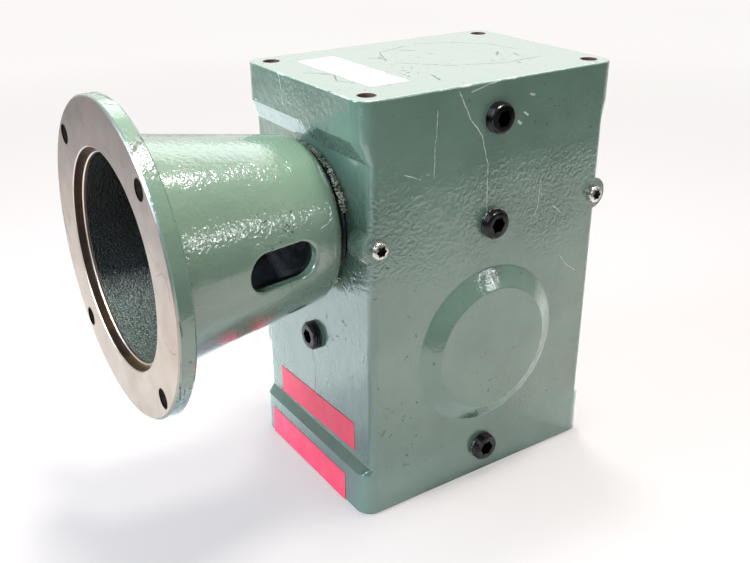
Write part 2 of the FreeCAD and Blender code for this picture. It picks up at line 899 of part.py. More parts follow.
def worm_shaft():
    """The worm with its shaft in one piece: thread, collars, journals and the keyed input end."""
    collar_start = worm_bearing_shoulder - worm_collar_length
    journal = worm_bearing_shoulder + worm_cone_width + journal_overrun
    core = worm_line.turned([
        (-input_shaft_end, 0),
        (-input_shaft_end, input_shaft_radius - shaft_chamfer),
        (-input_shaft_end + shaft_chamfer, input_shaft_radius),
        (-worm_seal_journal_end, input_shaft_radius),
        (-worm_seal_journal_end, worm_seal_journal_radius),
        (-journal, worm_seal_journal_radius),
        (-journal, worm_bearing_bore),
        (-worm_bearing_shoulder, worm_bearing_bore),
        (-worm_bearing_shoulder, worm_collar_radius),
        (-collar_start, worm_collar_radius),
        (-collar_start, worm_root_radius),
        (collar_start, worm_root_radius),
        (collar_start, worm_collar_radius),
        (worm_bearing_shoulder, worm_collar_radius),
        (worm_bearing_shoulder, worm_bearing_bore),
        (journal - shaft_chamfer, worm_bearing_bore),
        (journal, worm_bearing_bore - shaft_chamfer),
        (journal, 0),
    ])
    threads = []
    for index in range(worm_starts):
        thread = worm_thread()
        thread.rotate(vector(0, 0, 0), Z, 360 / worm_starts * index)
        thread.rotate(vector(0, 0, 0), Y, 90)
        thread.translate(worm_line.base)
        threads.append(thread)
    limit = worm_line.rod(worm_tip_radius * 2, -collar_start, collar_start)
    shaft = core.fuse([thread.common(limit) for thread in threads])
    return shaft.cut(open_keyway(
        worm_line, input_shaft_radius, input_key_width, -input_shaft_end, input_key_length))


def open_keyway(line, shaft_radius, width, end, length):
    """A square key's seat that starts at a shaft's end and stops in the round of the milling cutter."""
    inward = -math.copysign(1, end)
    across = Z.cross(line.along)
    bottom = shaft_radius - width / 2
    corner = line.point(end, bottom) - across * (width / 2)
    path = line.along * (inward * length)
    far = corner + path
    face = Part.makePolygon([corner, corner + across * width, far + across * width, far, corner])
    straight = outward(Part.Face(face).extrude(Z * width))
    rounded = Part.makeCylinder(width / 2, width, line.point(end + inward * length, bottom), Z)
    return straight.fuse(rounded)


def wheel_key_block(grow):
    """The wheel key's block, or its keyway with room over the key."""
    half = wheel_key_width / 2
    middle = wheel_axis_height + wheel_seat_radius
    low = (-half, -wheel_key_length / 2, middle - wheel_key_height / 2)
    high = (half, wheel_key_length / 2, middle + wheel_key_height / 2 + grow)
    return box(low, high)


def output_shaft():
    """The stepped output shaft with the wheel's keyway and an open one at its end."""
    journal = output_bearing_shoulder + output_cone_width + journal_overrun
    seat = hub_length / 2
    shaft = output_line.turned([
        (-journal, 0),
        (-journal, output_bearing_bore - shaft_chamfer),
        (-journal + shaft_chamfer, output_bearing_bore),
        (-output_bearing_shoulder, output_bearing_bore),
        (-output_bearing_shoulder, output_collar_radius),
        (-seat, output_collar_radius),
        (-seat, wheel_seat_radius),
        (seat, wheel_seat_radius),
        (seat, output_bearing_bore),
        (output_step, output_bearing_bore),
        (output_step, output_shaft_radius),
        (output_shaft_end - shaft_chamfer, output_shaft_radius),
        (output_shaft_end, output_shaft_radius - shaft_chamfer),
        (output_shaft_end, 0),
    ])
    keyway = open_keyway(
        output_line, output_shaft_radius, output_key_width, output_shaft_end, output_key_length)
    return shaft.cut([keyway, wheel_key_block(0)])


def spacer_sleeve():
    """The sleeve between the wheel's hub and the output-side bearing."""
    return output_line.turned([
        (hub_length / 2, output_bearing_bore),
        (hub_length / 2, output_collar_radius),
        (output_bearing_shoulder, output_collar_radius),
        (output_bearing_shoulder, output_bearing_bore),
    ])


def involute(angle):
    """The involute function of a pressure angle in radians."""
    return math.tan(angle) - angle


def gap_half_angle(radius):
    """Half the angle between two neighbouring wheel teeth at a radius."""
    at_radius = involute(math.acos(min(1.0, wheel_base_radius / radius)))
    at_pitch = involute(math.radians(pressure_angle))
    backlash = flank_backlash / (4 * wheel_pitch_radius)
    return math.pi / (2 * wheel_teeth) + backlash - at_pitch + at_radius


def tooth_gap_outline(distance):
    """The gap between two teeth in the plane at one distance along the output shaft."""
    turn = lead_angle_tangent * distance / wheel_pitch_radius
    bottom = centre_distance - hob_radius - root_clearance
    top = wheel_outer_radius + root_clearance
    root = max(centre_distance - hob_radius, wheel_base_radius)
    middle = (root + top) / 2

    def place(radius, angle):
        full = angle + turn
        return vector(radius * math.sin(full), distance, wheel_axis_height + radius * math.cos(full))

    root_angle = gap_half_angle(root)
    left_low = place(bottom, -root_angle)
    left_root = place(root, -root_angle)
    left_top = place(top, -gap_half_angle(top))
    right_top = place(top, gap_half_angle(top))
    right_root = place(root, root_angle)
    right_low = place(bottom, root_angle)
    return Part.Wire([
        Part.makeLine(left_low, left_root),
        Part.Arc(left_root, place(middle, -gap_half_angle(middle)), left_top).toShape(),
        Part.makeLine(left_top, right_top),
        Part.Arc(right_top, place(middle, gap_half_angle(middle)), right_root).toShape(),
        Part.makeLine(right_root, right_low),
        Part.makeLine(right_low, left_low),
    ])


def worm_wheel():
    """The toothed bronze rim: a blank with a hollow throat and helical gaps as a hob leaves them."""
    half = wheel_face_width / 2
    outer = wheel_outer_radius
    throat_edge = math.sqrt(throat_radius ** 2 - (centre_distance - outer) ** 2)
    blank = output_line.turned([
        (-half, wheel_joint_radius),
        (-half, outer - edge_break),
        (-half + edge_break, outer),
        (-throat_edge, outer),
        (0, centre_distance - throat_radius, throat_edge, outer),
        (half - edge_break, outer),
        (half, outer - edge_break),
        (half, wheel_joint_radius),
    ])
    reach = half + edge_break
    gap = outward(Part.makeLoft([tooth_gap_outline(-reach), tooth_gap_outline(reach)], True, True))
    ring = Part.makeTorus(centre_distance, hob_radius, output_line.base, Y)
    gap = gap.common(ring).Solids[0]
    gaps = [output_line.spun(gap, 360 / wheel_teeth * index) for index in range(wheel_teeth)]
    return blank.cut(gaps + wheel_pin_bodies())


def wheel_pin_bodies():
    """Pins set half in the rim and half in the hub, from the +Y side."""
    end = wheel_face_width / 2
    pins = []
    for index in range(wheel_pin_count):
        angle = math.radians(360 / wheel_pin_count * (index + 0.5))
        x = wheel_joint_radius * math.cos(angle)
        z = wheel_axis_height + wheel_joint_radius * math.sin(angle)
        pins.append(rod_y(wheel_pin_radius, x, z, end - wheel_pin_length, end))
    return pins


def wheel_hub():
    """The iron centre of the wheel, with its keyway."""
    half = wheel_face_width / 2
    relief = half - hub_relief_depth
    points = [(hub_length / 2, wheel_seat_radius), (hub_length / 2, hub_radius), (half, hub_radius)]
    points += [(half, hub_relief_inner_radius), (relief, hub_relief_inner_radius)]
    points += [(relief, hub_relief_outer_radius), (half, hub_relief_outer_radius), (half, wheel_joint_radius)]
    mirrored = [(-distance, radius) for distance, radius in reversed(points)]
    body = output_line.turned(points + mirrored)
    return body.cut([wheel_key_block(slip_gap)] + wheel_pin_bodies())


def build():
    """Every sub-part by its node name."""
    parts = {
        "gear_housing": housing(),
        "motor_adapter": motor_adapter(),
        "adapter_seal_ring": adapter_seal_ring(),
        "end_closure": end_closure(),
        "closure_ring": closure_ring(),
        "lock_screws": lock_screws(),
        "output_cover": output_cover(),
        "cover_gasket": cover_gasket(),
        "cover_screws": cover_screws(),
        "worm_shaft": worm_shaft(),
        "output_shaft": output_shaft(),
        "wheel_key": wheel_key_block(0),
        "wheel_hub": wheel_hub(),
        "worm_wheel": worm_wheel(),
        "wheel_pins": wheel_pin_bodies(),
        "spacer_sleeve": spacer_sleeve(),
        "input_oil_seal": oil_seal(
            worm_line, worm_seal_journal_radius, input_seal_radius, -input_seal_inner_end, -web_face),
        "output_oil_seal": oil_seal(
            output_line, output_bearing_bore, output_seal_radius, output_seal_inner_end, cover_boss_face),
    }
    for name, seat, out in plug_places():
        parts[name] = pipe_plug(seat, out)
    bearings = {
        "worm_bearing_input": worm_bearing(-1),
        "worm_bearing_far": worm_bearing(1),
        "output_bearing_blind": output_bearing(-1),
        "output_bearing_cover": output_bearing(1),
    }
    for name, bearing in bearings.items():
        parts[name + "_cup"] = bearing.cup()
        parts[name + "_cone"] = bearing.cone()
        parts[name + "_rollers"] = bearing.rollers()
        parts[name + "_cage"] = bearing.cage()
    return parts


def write_parts(parts):
    """One STEP file per node. A node of several solids is written as a group."""
    os.makedirs("parts", exist_ok=True)
    for name, shape in parts.items():
        if isinstance(shape, list):
            shape = Part.makeCompound(shape)
        shape.exportStep(f"parts/{name}.step")


write_parts(build())
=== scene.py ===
import json
import logging
import math
import random
from dataclasses import dataclass, field
from enum import Enum
from functools import cached_property
from typing import Any, Sequence

import bmesh
import bpy
from mathutils import Matrix, Vector, noise


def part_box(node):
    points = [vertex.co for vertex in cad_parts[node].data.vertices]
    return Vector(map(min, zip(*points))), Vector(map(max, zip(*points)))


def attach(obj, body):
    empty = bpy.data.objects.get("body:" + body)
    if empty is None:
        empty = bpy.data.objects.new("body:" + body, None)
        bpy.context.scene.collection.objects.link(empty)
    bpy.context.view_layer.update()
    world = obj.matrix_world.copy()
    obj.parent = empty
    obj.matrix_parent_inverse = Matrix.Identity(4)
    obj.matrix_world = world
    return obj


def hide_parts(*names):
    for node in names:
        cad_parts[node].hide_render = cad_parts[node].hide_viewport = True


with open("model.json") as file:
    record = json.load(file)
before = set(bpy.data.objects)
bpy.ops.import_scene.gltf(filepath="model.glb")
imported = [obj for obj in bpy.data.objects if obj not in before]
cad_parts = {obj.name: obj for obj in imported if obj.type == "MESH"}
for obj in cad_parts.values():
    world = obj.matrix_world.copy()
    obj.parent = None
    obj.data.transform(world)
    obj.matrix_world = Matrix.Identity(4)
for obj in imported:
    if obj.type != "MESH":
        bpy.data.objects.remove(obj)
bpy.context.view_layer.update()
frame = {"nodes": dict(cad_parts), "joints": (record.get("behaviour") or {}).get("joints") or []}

LOG = logging.getLogger("worm_reducer")
MM = 0.001
UP = Vector((0, 0, 1))
# The housing's front face, the bands and the recess of its end face, and its top.
FRONT_MM, BAND_MM, RECESS_MM, TOP_MM = -60.75, -86.5, -81.0, 246.5
Point = tuple[float, float]
Span = tuple[float, float]
Place = tuple[float, float, float]
Source = bpy.types.Node | bpy.types.NodeSocket


def linear(hex_colour: str) -> tuple[float, float, float, float]:
    """Turns an sRGB hex colour into linear values.

    Args:
        hex_colour: six hex digits, such as "5b7568".

    Returns:
        Red, green, blue and an alpha of 1.
    """
    values = []
    for start in (0, 2, 4):
        share = int(hex_colour[start:start + 2], 16) / 255
        values.append(share / 12.92 if share <= 0.04045 else ((share + 0.055) / 1.055) ** 2.4)
    return values[0], values[1], values[2], 1.0


def grain(size_mm: float) -> float:
    """The scale of a noise texture whose features are size_mm across."""
    return 1.0 / (size_mm * MM)


def relief(depth_mm: float) -> float:
    """The bump distance for noise of a depth, as noise fills about a quarter of its range."""
    return depth_mm * MM * 4


def feed(tree: bpy.types.NodeTree, socket: bpy.types.NodeSocket, value: Any) -> None:
    """Links an input to what it reads, or sets it.

    Args:
        tree: the node tree.
        socket: the input.
        value: a socket, a node whose first output in use is meant, a plain value or a hex colour.
    """
    if isinstance(value, bpy.types.Node):
        value = next(output for output in value.outputs if output.enabled)
    elif isinstance(value, str):
        value = linear(value)
    if isinstance(value, bpy.types.NodeSocket):
        tree.links.new(value, socket)
    else:
        socket.default_value = value


def add_node(tree: bpy.types.NodeTree, kind: str, *inputs: Any, **more: Any) -> bpy.types.Node:
    """Adds one shader node with its settings and links.

    Args:
        tree: the material's or world's node tree.
        kind: the node's type without its ShaderNode prefix.
        inputs: what the inputs in use get, in their order. Nodes and sockets are linked.
        more: settings of the node, such as operation. A name with a capital first letter is an
            input instead, with _ for a space.

    Returns:
        The new node.
    """
    node = tree.nodes.new("ShaderNode" + kind)
    named = {key: more.pop(key) for key in list(more) if key[0].isupper()}
    for key, value in more.items():
        setattr(node, key, value)
    in_use = [socket for socket in node.inputs if socket.enabled]
    for socket, value in zip(in_use, inputs):
        feed(tree, socket, value)
    for key, value in named.items():
        feed(tree, node.inputs[key.replace("_", " ")], value)
    return node


@dataclass
class Sheet:
    """A new material with its principled shader and the object coordinates that every pattern reads."""

    name: str
    tree: bpy.types.NodeTree = field(init=False)
    shader: bpy.types.Node = field(init=False)
    place: bpy.types.NodeSocket = field(init=False)
    material: bpy.types.Material = field(init=False)

    def __post_init__(self) -> None:
        """Creates the material."""
        self.material = bpy.data.materials.new(self.name)
        self.material.use_nodes = True
        self.tree = self.material.node_tree
        self.shader = self.tree.nodes["Principled BSDF"]
        self.place = add_node(self.tree, "TexCoord").outputs["Object"]

    @cached_property
    def axes(self) -> Sequence[bpy.types.NodeSocket]:
        """The object coordinates apart, in order or by the names X, Y and Z."""
        return self.add("SeparateXYZ", self.place).outputs

    def add(self, kind: str, *inputs: Any, **more: Any) -> bpy.types.Node:
        """Adds a node to this material's tree."""
        return add_node(self.tree, kind, *inputs, **more)

    def cloud(self, size_mm: float, detail: float, *span: float, **more: Any) -> bpy.types.Node:
        """Soft patches that come and go over the surface.

        Args:
            size_mm: how large the patches are.
            detail: how many finer layers the noise has.
            span: two values of the noise, then what they become. Left out, that is nought and one.
            more: other inputs of the noise.

        Returns:
            The patches' strength.
        """
        patches = self.add("TexNoise", self.place, grain(size_mm), detail, **more)
        return self.add("MapRange", patches, *span)

    def use(self, **sockets: Any) -> None:
        """Sets or links inputs of the principled shader.

        Args:
            sockets: input names with _ for a space, each with a value, a node or a socket.
        """
        for key, value in sockets.items():
            feed(self.tree, self.shader.inputs[key.replace("_", " ")], value)


class Slot(Enum):
    """The names of the record's material slots."""

    ENAMEL = "enamel"
    RUBBER = "black_rubber"
    PLUG = "plug_steel"
    SCREW = "zinc_screw"


def worm_height() -> float:
    """The height of the worm's axis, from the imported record."""
    return next(Vector(joint["pos_m"]).z for joint in frame["joints"] if joint["name"] == "input_spin")


@dataclass(frozen=True)
class Scratch:
    """A thin mark that follows a line of points over a surface. Points and width are in millimetres."""

    path: tuple[Place, ...]
    width: float = 0.4
    core: float = 0.35
    fringe: float = 0.75

    def mask(self, sheet: Sheet, place: Source) -> Source:
        """One on the mark, nought away from it.

        Args:
            sheet: the material that the mark is drawn in.
            place: object coordinates, shaken a little so that the mark isn't straight.

        Returns:
            The mask, which fades between the core's and the fringe's share of the width.
        """
        nearest = None
        for start, end in zip(self.path, self.path[1:]):
            step = (Vector(end) - Vector(start)) * MM
            offset = sheet.add("VectorMath", place, Vector(start) * MM, operation="SUBTRACT")
            share = sheet.add("VectorMath", offset, step / step.length_squared, operation="DOT_PRODUCT")
            held = sheet.add("Math", share, 0.0, operation="ADD", use_clamp=True)
            foot = sheet.add("VectorMath", step, held, operation="SCALE")
            gap = sheet.add("VectorMath", offset, foot, operation="DISTANCE")
            if nearest is not None:
                gap = sheet.add("Math", nearest, gap, operation="MINIMUM")
            nearest = gap
        return sheet.add("MapRange", nearest, self.width * self.core * MM, self.width * self.fringe * MM,
                         1.0, 0.0)


@dataclass(frozen=True)
class CastEnamel:
    """Gloss machine enamel, sprayed thick over sand-cast iron.

    The eye sees a wet gloss broken by orange peel and by the lumps of the sand mould,
    dark pits where the paint has flaked, pale scratches and dark scrapes.
    """

    name: str
    colour: str = "5f7b6c"
    deep: str = "516d5f"
    pit: str = "232c28"
    rub: str = "b4c2b8"
    peel_mm: float = 2.0
    lump_mm: float = 10.0
    depth_mm: float = 0.075
    pit_depth: float = 0.12 * MM
    shake: float = 1.3 * MM
    roughness: float = 0.2
    scuffed_roughness: float = 0.7
    specular: float = 0.75
    coat_ior: float = 1.5
    coat_roughness: float = 0.07
    pale_marks: tuple[Scratch, ...] = ()
    dark_marks: tuple[Scratch, ...] = ()

    def tone(self, sheet: Sheet) -> Source:
        """The paint's colour before wear."""
        return sheet.add("Mix", sheet.cloud(48, 3.0, 0.35, 0.7), self.colour, self.deep,
                         data_type="RGBA")

    def specks(self, sheet: Sheet) -> Source:
        """Small pits, thick in some places and absent in others.

        Args:
            sheet: the material.

        Returns:
            One in the pits, nought elsewhere.
        """
        fine = sheet.add("TexNoise", sheet.place, grain(3.0), 2.5, Distortion=0.6)
        bias = sheet.cloud(42, 1.0, 0.4, 0.75, 0.0, 0.1)
        total = sheet.add("Math", fine, bias, operation="ADD")
        return sheet.add("MapRange", total, 0.74, 0.76)

    def marks(self, sheet: Sheet, scratches: tuple[Scratch, ...]) -> Source | None:
        """One mask for a set of scratches, broken up along their length.

        Args:
            sheet: the material.
            scratches: the marks.

        Returns:
            The mask, or None where there are no marks.
        """
        if not scratches:
            return None
        wander = sheet.add("TexNoise", sheet.place, grain(5), 3.0).outputs["Color"]
        centred = sheet.add("VectorMath", wander, (0.5, 0.5, 0.5), operation="SUBTRACT")
        shaken = sheet.add("VectorMath", centred, (self.shake,) * 3, sheet.place,
                           operation="MULTIPLY_ADD")
        total = scratches[0].mask(sheet, shaken)
        for scratch in scratches[1:]:
            total = sheet.add("Math", total, scratch.mask(sheet, shaken), operation="MAXIMUM")
        kept = sheet.cloud(2.2, 2.0, 0.3, 0.52, 0.2, 0.85)
        return sheet.add("Math", total, kept, operation="MULTIPLY")

    def worn(self, sheet: Sheet, paint: Source) -> tuple[Source, Source | float]:
        """Lays the pale and dark marks over the paint.

        Args:
            sheet: the material.
            paint: the paint's colour.

        Returns:
            The worn colour, and the share of the gloss that is left.
        """
        kept: Source | float = 1.0
        for scratches, colour in ((self.dark_marks, self.pit), (self.pale_marks, self.rub)):
            mask = self.marks(sheet, scratches)
            if mask is not None:
                paint = sheet.add("Mix", mask, paint, colour, data_type="RGBA")
                kept = sheet.add("Math", kept, mask, operation="SUBTRACT", use_clamp=True)
        return paint, kept

    def dullness(self, sheet: Sheet, rough: Source, kept: Source | float) -> Source:
        """The base coat's roughness, higher in pits and under marks.

        Args:
            sheet: the material.
            rough: one in pits and on bare spots.
            kept: the share of the gloss that is left.

        Returns:
            The roughness.
        """
        scuffed = sheet.add("Math", 1.0, kept, operation="SUBTRACT")
        most = sheet.add("Math", rough, scuffed, operation="MAXIMUM")
        return sheet.add("MapRange", most, 0.0, 1.0, self.roughness, self.scuffed_roughness)

    def surface(self, sheet: Sheet, pits: Source) -> Source:
        """The bump of orange peel, mould lumps and pits.

        Args:
            sheet: the material.
            pits: one in the pits.

        Returns:
            The normal.
        """
        peel = sheet.add("TexNoise", sheet.place, grain(self.peel_mm), 2.0, 0.45, Distortion=0.4)
        lumps = sheet.add("TexNoise", sheet.place, grain(self.lump_mm), 2.0, 0.5)
        height = sheet.add("Math", peel, self.peel_share(sheet), operation="MULTIPLY")
        calm, depth = self.calm(sheet), relief(self.depth_mm)
        first = sheet.add("Bump", Height=height, Distance=depth, Strength=calm)
        second = sheet.add("Bump", Height=lumps, Distance=depth, Strength=calm, Normal=first)
        return sheet.add("Bump", Height=pits, Distance=self.pit_depth, Normal=second, invert=True)

    def peel_share(self, sheet: Sheet) -> Source:
        """How deep the orange peel is from place to place."""
        return sheet.cloud(60, 1.0, 0.38, 0.62, 0.3, 1.6)

    def calm(self, sheet: Sheet) -> Source | float:
        """How much of the lumps shows."""
        return 1.0

    def glazed(self, sheet: Sheet, skin: Source, weight: Source | float,
               **sockets: Any) -> bpy.types.Material:
        """Sets the shader, with the clear coat that the wet gloss comes from.

        Args:
            sheet: the material.
            skin: the paint's bump. The coat follows it, and so does the base unless told otherwise.
            weight: how much of the coat is left.
            sockets: the base's own inputs.

        Returns:
            The finished material.
        """
        shared = {"Normal": skin, "Coat_Normal": skin, "Coat_Weight": weight, "Coat_IOR": self.coat_ior,
                  "Coat_Roughness": self.coat_roughness, "Specular_IOR_Level": self.specular}
        sheet.use(**(shared | sockets))
        return sheet.material

    def painted(self, sheet: Sheet) -> tuple[Source, Source, Source | float]:
        """Pits and wears the paint.

        Args:
            sheet: the material.

        Returns:
            The mask of the pits, the colour, and the share of the gloss that is left.
        """
        pits = self.specks(sheet)
        pitted = sheet.add("Mix", pits, self.tone(sheet), self.pit, data_type="RGBA")
        return pits, *self.worn(sheet, pitted)

    def material(self) -> bpy.types.Material:
        """Builds the material of a piece that is painted all over.

        Returns:
            The finished material.
        """
        sheet = Sheet(self.name)
        pits, paint, kept = self.painted(sheet)
        return self.glazed(sheet, self.surface(sheet, pits), kept, Base_Color=paint,
                           Roughness=self.dullness(sheet, pits, kept))


@dataclass(frozen=True)
class HousingEnamel(CastEnamel):
    """The housing's enamel: smoother on the milled top, rubbed through along the block's edges.

    The mouths of the tapped holes are bare brown iron, and the end faces keep the mould's parting line.
    """

    half_x: float = 0.0865
    half_y: float = 0.06075
    height: float = 0.2465
    hole_x: float = 0.0755
    hole_y: float = 0.04935
    hole_radius: float = 0.0047
    run_top: float = 0.206
    run_foot: float = 0.142
    rust: str = "54382f"
    # Painted light: the paler colour that the top face is painted.
    milled: str = "75897f"

    def peel_share(self, sheet: Sheet) -> Source:
        """The peel is deepest in a band across the sides, where the paint ran, and shallow above it.

        Args:
            sheet: the material.

        Returns:
            How deep the orange peel is.
        """
        height = sheet.axes["Z"]
        under = sheet.add("MapRange", height, self.run_top - 14 * MM, self.run_top, 1.5, 0.35)
        over = sheet.add("MapRange", height, self.run_foot - 12 * MM, self.run_foot + 12 * MM, 0.5, 1.5)
        band = sheet.add("Math", under, over, operation="MINIMUM")
        return sheet.add("Math", band, super().peel_share(sheet), operation="MULTIPLY")

    def calm(self, sheet: Sheet) -> Source:
        """The milled top has little of the lumps of the sides."""
        return sheet.add("MapRange", sheet.axes["Z"], self.height - 1.2 * MM, self.height - 0.2 * MM,
                         1.0, 0.22)

    def edge_wear(self, sheet: Sheet) -> Source:
        """The edges of the block, where the paint is rubbed through in places.

        Args:
            sheet: the material.

        Returns:
            The mask of the bare edges.
        """
        middle = sheet.add("VectorMath", sheet.place, (0.0, 0.0, self.height / 2), operation="SUBTRACT")
        folded = sheet.add("VectorMath", middle, operation="ABSOLUTE")
        room = sheet.add("VectorMath", (self.half_x, self.half_y, self.height / 2), folded,
                         operation="SUBTRACT")
        x, y, z = sheet.add("SeparateXYZ", room).outputs
        near, *others = (sheet.add("Math", *pair, operation="MAXIMUM") for pair in ((x, z), (y, z), (x, y)))
        for other in others:
            near = sheet.add("Math", near, other, operation="MINIMUM")
        ragged = sheet.add("TexNoise", sheet.place, grain(7), 5.0, 0.65)
        shifted = sheet.add("Math", ragged, -5.5 * MM, near, operation="MULTIPLY_ADD")
        return sheet.add("MapRange", shifted, -3.0 * MM, -2.4 * MM, 0.8, 0.0)

    def tone(self, sheet: Sheet) -> Source:
        """The paint's colour, with painted light that makes the milled top paler."""
        # Painted light makes the top face paler.
        top = sheet.add("MapRange", sheet.axes["Z"], self.height - 0.5 * MM, self.height - 0.1 * MM)
        return sheet.add("Mix", top, super().tone(sheet), self.milled, data_type="RGBA")

    def worn(self, sheet: Sheet, paint: Source) -> tuple[Source, Source | float]:
        """Rubs the paint through along the edges, then lays the marks over it."""
        rubbed = sheet.add("Mix", self.edge_wear(sheet), paint, self.rub, data_type="RGBA")
        return super().worn(sheet, rubbed)

    def material(self) -> bpy.types.Material:
        """Builds the material, with bare rusty rings round the tapped holes.

        Returns:
            The finished material.
        """
        sheet = Sheet(self.name)
        pits, paint, kept = self.painted(sheet)
        folded = sheet.add("VectorMath", sheet.place, operation="ABSOLUTE")
        offset = sheet.add("Mapping", folded, Location=(-self.hole_x, -self.hole_y, 0.0),
                           Scale=(1.0, 1.0, 0.0))
        reach = sheet.add("VectorMath", offset, operation="LENGTH")
        ring = sheet.add("MapRange", reach, self.hole_radius + 0.3 * MM, self.hole_radius + 0.9 * MM,
                         1.0, 0.0)
        colour = sheet.add("Mix", ring, paint, self.rust, data_type="RGBA")
        rough = sheet.add("Math", pits, ring, operation="MAXIMUM")
        return self.glazed(sheet, self.surface(sheet, pits), kept, Base_Color=colour,
                           Roughness=self.dullness(sheet, rough, kept))


@dataclass(frozen=True)
class BellEnamel(CastEnamel):
    """The adapter's finish: enamel outside, bare turned iron on the flange face and register, rough inside.

    The turned iron has faint rings and brown stains, with painted highlights along the register's edges.
    The paint is chipped along the rim. The inside is unmachined casting: painted shade near black above and
    deep in the bell, and a painted pool of light on the lower wall.
    """

    face: float = 0.0
    mouth: float = 0.0
    tube_end: float = -0.0865
    wall_radii: Span = (0.0572, 0.0405)
    register_radius: float = 57.15 * MM
    mouth_radius: float = 53.9 * MM
    bolt_radius: float = 74.6 * MM
    bolt_hole_radius: float = 5.2 * MM
    edge_width: float = 0.6 * MM
    # The tool's feed is finer than a pixel, so the rings are drawn as coarse as they need to show.
    ring_pitch: float = 0.45 * MM
    ring_depth: float = 0.005 * MM
    sand_depth: float = 1.1 * MM
    inner_roughness: float = 0.25
    metal_share: float = 0.92
    # The metallic share of the painted shade inside the bell.
    shade_metal_share: float = 0.62
    peel_fade: Span = (-0.165, -0.115)
    # Painted shade: the heights over which the bell's lower side darkens.
    low_shade_heights: Span = (0.11, 0.185)
    # Painted light: the heights where the painted pool of light on the inside's lower wall fades out.
    lit_heights: Span = (0.131, 0.145)
    brass_heights: Span = (0.118, 0.15)
    # The turned iron's colours: darker towards the top, lighter towards the bottom.
    iron: str = "8e8682"
    lower_iron: str = "a8988c"
    stain: str = "5a473b"
    brass_film: str = "7d6747"
    # The colour of the painted highlights along the machined edges.
    edge: str = "e0d4ca"
    score: str = "463d39"
    drilled: str = "2c221d"
    # Painted shade: the colour that the paint darkens to on the bell's lower side.
    low_shade: str = "35433a"
    # Painted shade inside the bell, near black, then the painted pool of light on its lower wall, with
    # grain.
    shade_tones: tuple[str, str] = ("020305", "090f0d")
    lit_tones: tuple[str, str] = ("3c443a", "8a907c")

    def tone(self, sheet: Sheet) -> Source:
        """The paint's colour, with painted shade that darkens the bell's lower side."""
        # Painted shade darkens the paint towards the bell's lower side.
        share = sheet.add("MapRange", sheet.axes["Z"], *self.low_shade_heights, 0.42, 0.0)
        return sheet.add("Mix", share, super().tone(sheet), self.low_shade, data_type="RGBA")

    def peel_share(self, sheet: Sheet) -> Source:
        """The peel is deep beside the flange and fades towards the housing."""
        fade = sheet.add("MapRange", sheet.axes["X"], *self.peel_fade, 1.15, 0.5)
        return sheet.add("Math", fade, super().peel_share(sheet), operation="MULTIPLY")

    def material(self) -> bpy.types.Material:
        """Builds the material with its three zones.

        Returns:
            The finished material.
        """
        sheet = Sheet(self.name)
        radial = sheet.add("Mapping", sheet.place, Location=(0.0, 0.0, -worm_height()),
                           Scale=(0.0, 1.0, 1.0))
        radius = sheet.add("VectorMath", radial, operation="LENGTH")
        register = self.register_mask(sheet, radius)
        holes = self.hole_mask(sheet, radial)
        machined = sheet.add("Math", self.face_mask(sheet), register, operation="MAXIMUM")
        bare = sheet.add("Math", machined, holes, operation="MAXIMUM")
        hollow = self.inner_mask(sheet, radius)

        pits, paint, kept = self.painted(sheet)
        sand = sheet.add("TexNoise", sheet.place, grain(1.1), 3.0, 0.6)
        # The inside's colour holds painted shade and a painted pool of light.
        inside, shade_metal = self.lining(sheet, sand)
        lined = sheet.add("Mix", hollow, paint, inside, data_type="RGBA")
        iron = self.iron_tone(sheet, register, radius)
        metal = sheet.add("Mix", holes, iron, self.drilled, data_type="RGBA")
        colour = sheet.add("Mix", bare, lined, metal, data_type="RGBA")

        painted = sheet.add("Mix", hollow, self.dullness(sheet, pits, kept), self.inner_roughness)
        gloss = sheet.add("Mix", bare, painted, sheet.cloud(26, 4.0, 0.3, 0.7, 0.3, 0.5))
        inner_metal = sheet.add("Math", shade_metal, hollow, operation="MULTIPLY")
        shiny = sheet.add("Math", machined, inner_metal, operation="MAXIMUM")
        metallic = sheet.add("Math", shiny, self.metal_share, operation="MULTIPLY")

        skin = self.surface(sheet, pits)
        casting = sheet.add("Bump", Height=sand, Distance=self.sand_depth, Strength=hollow, Normal=skin)
        rings = sheet.add("Math", radius, math.tau / self.ring_pitch, operation="MULTIPLY")
        wave = sheet.add("Math", rings, operation="SINE")
        flat = sheet.add("NewGeometry").outputs["Normal"]
        lathed = sheet.add("Bump", Height=wave, Distance=self.ring_depth, Normal=flat)
        normal = sheet.add("Mix", bare, casting, lathed, data_type="VECTOR")
        dry = sheet.add("Math", hollow, bare, operation="MAXIMUM")
        coat = sheet.add("Math", kept, dry, operation="SUBTRACT", use_clamp=True)
        return self.glazed(sheet, skin, coat, Base_Color=colour, Roughness=gloss, Metallic=metallic,
                           Normal=normal)

    def lining(self, sheet: Sheet, sand: Source) -> tuple[Source, Source]:
        """The colour inside: painted shade, near black, above and deep in the bell, and a painted pool of
        light, grey-green with the casting's grain, on the lower wall.

        Args:
            sheet: the material.
            sand: the grain of the rough casting.

        Returns:
            The colour, and the metallic share of the painted shade, which drops where the painted light
            lies.
        """
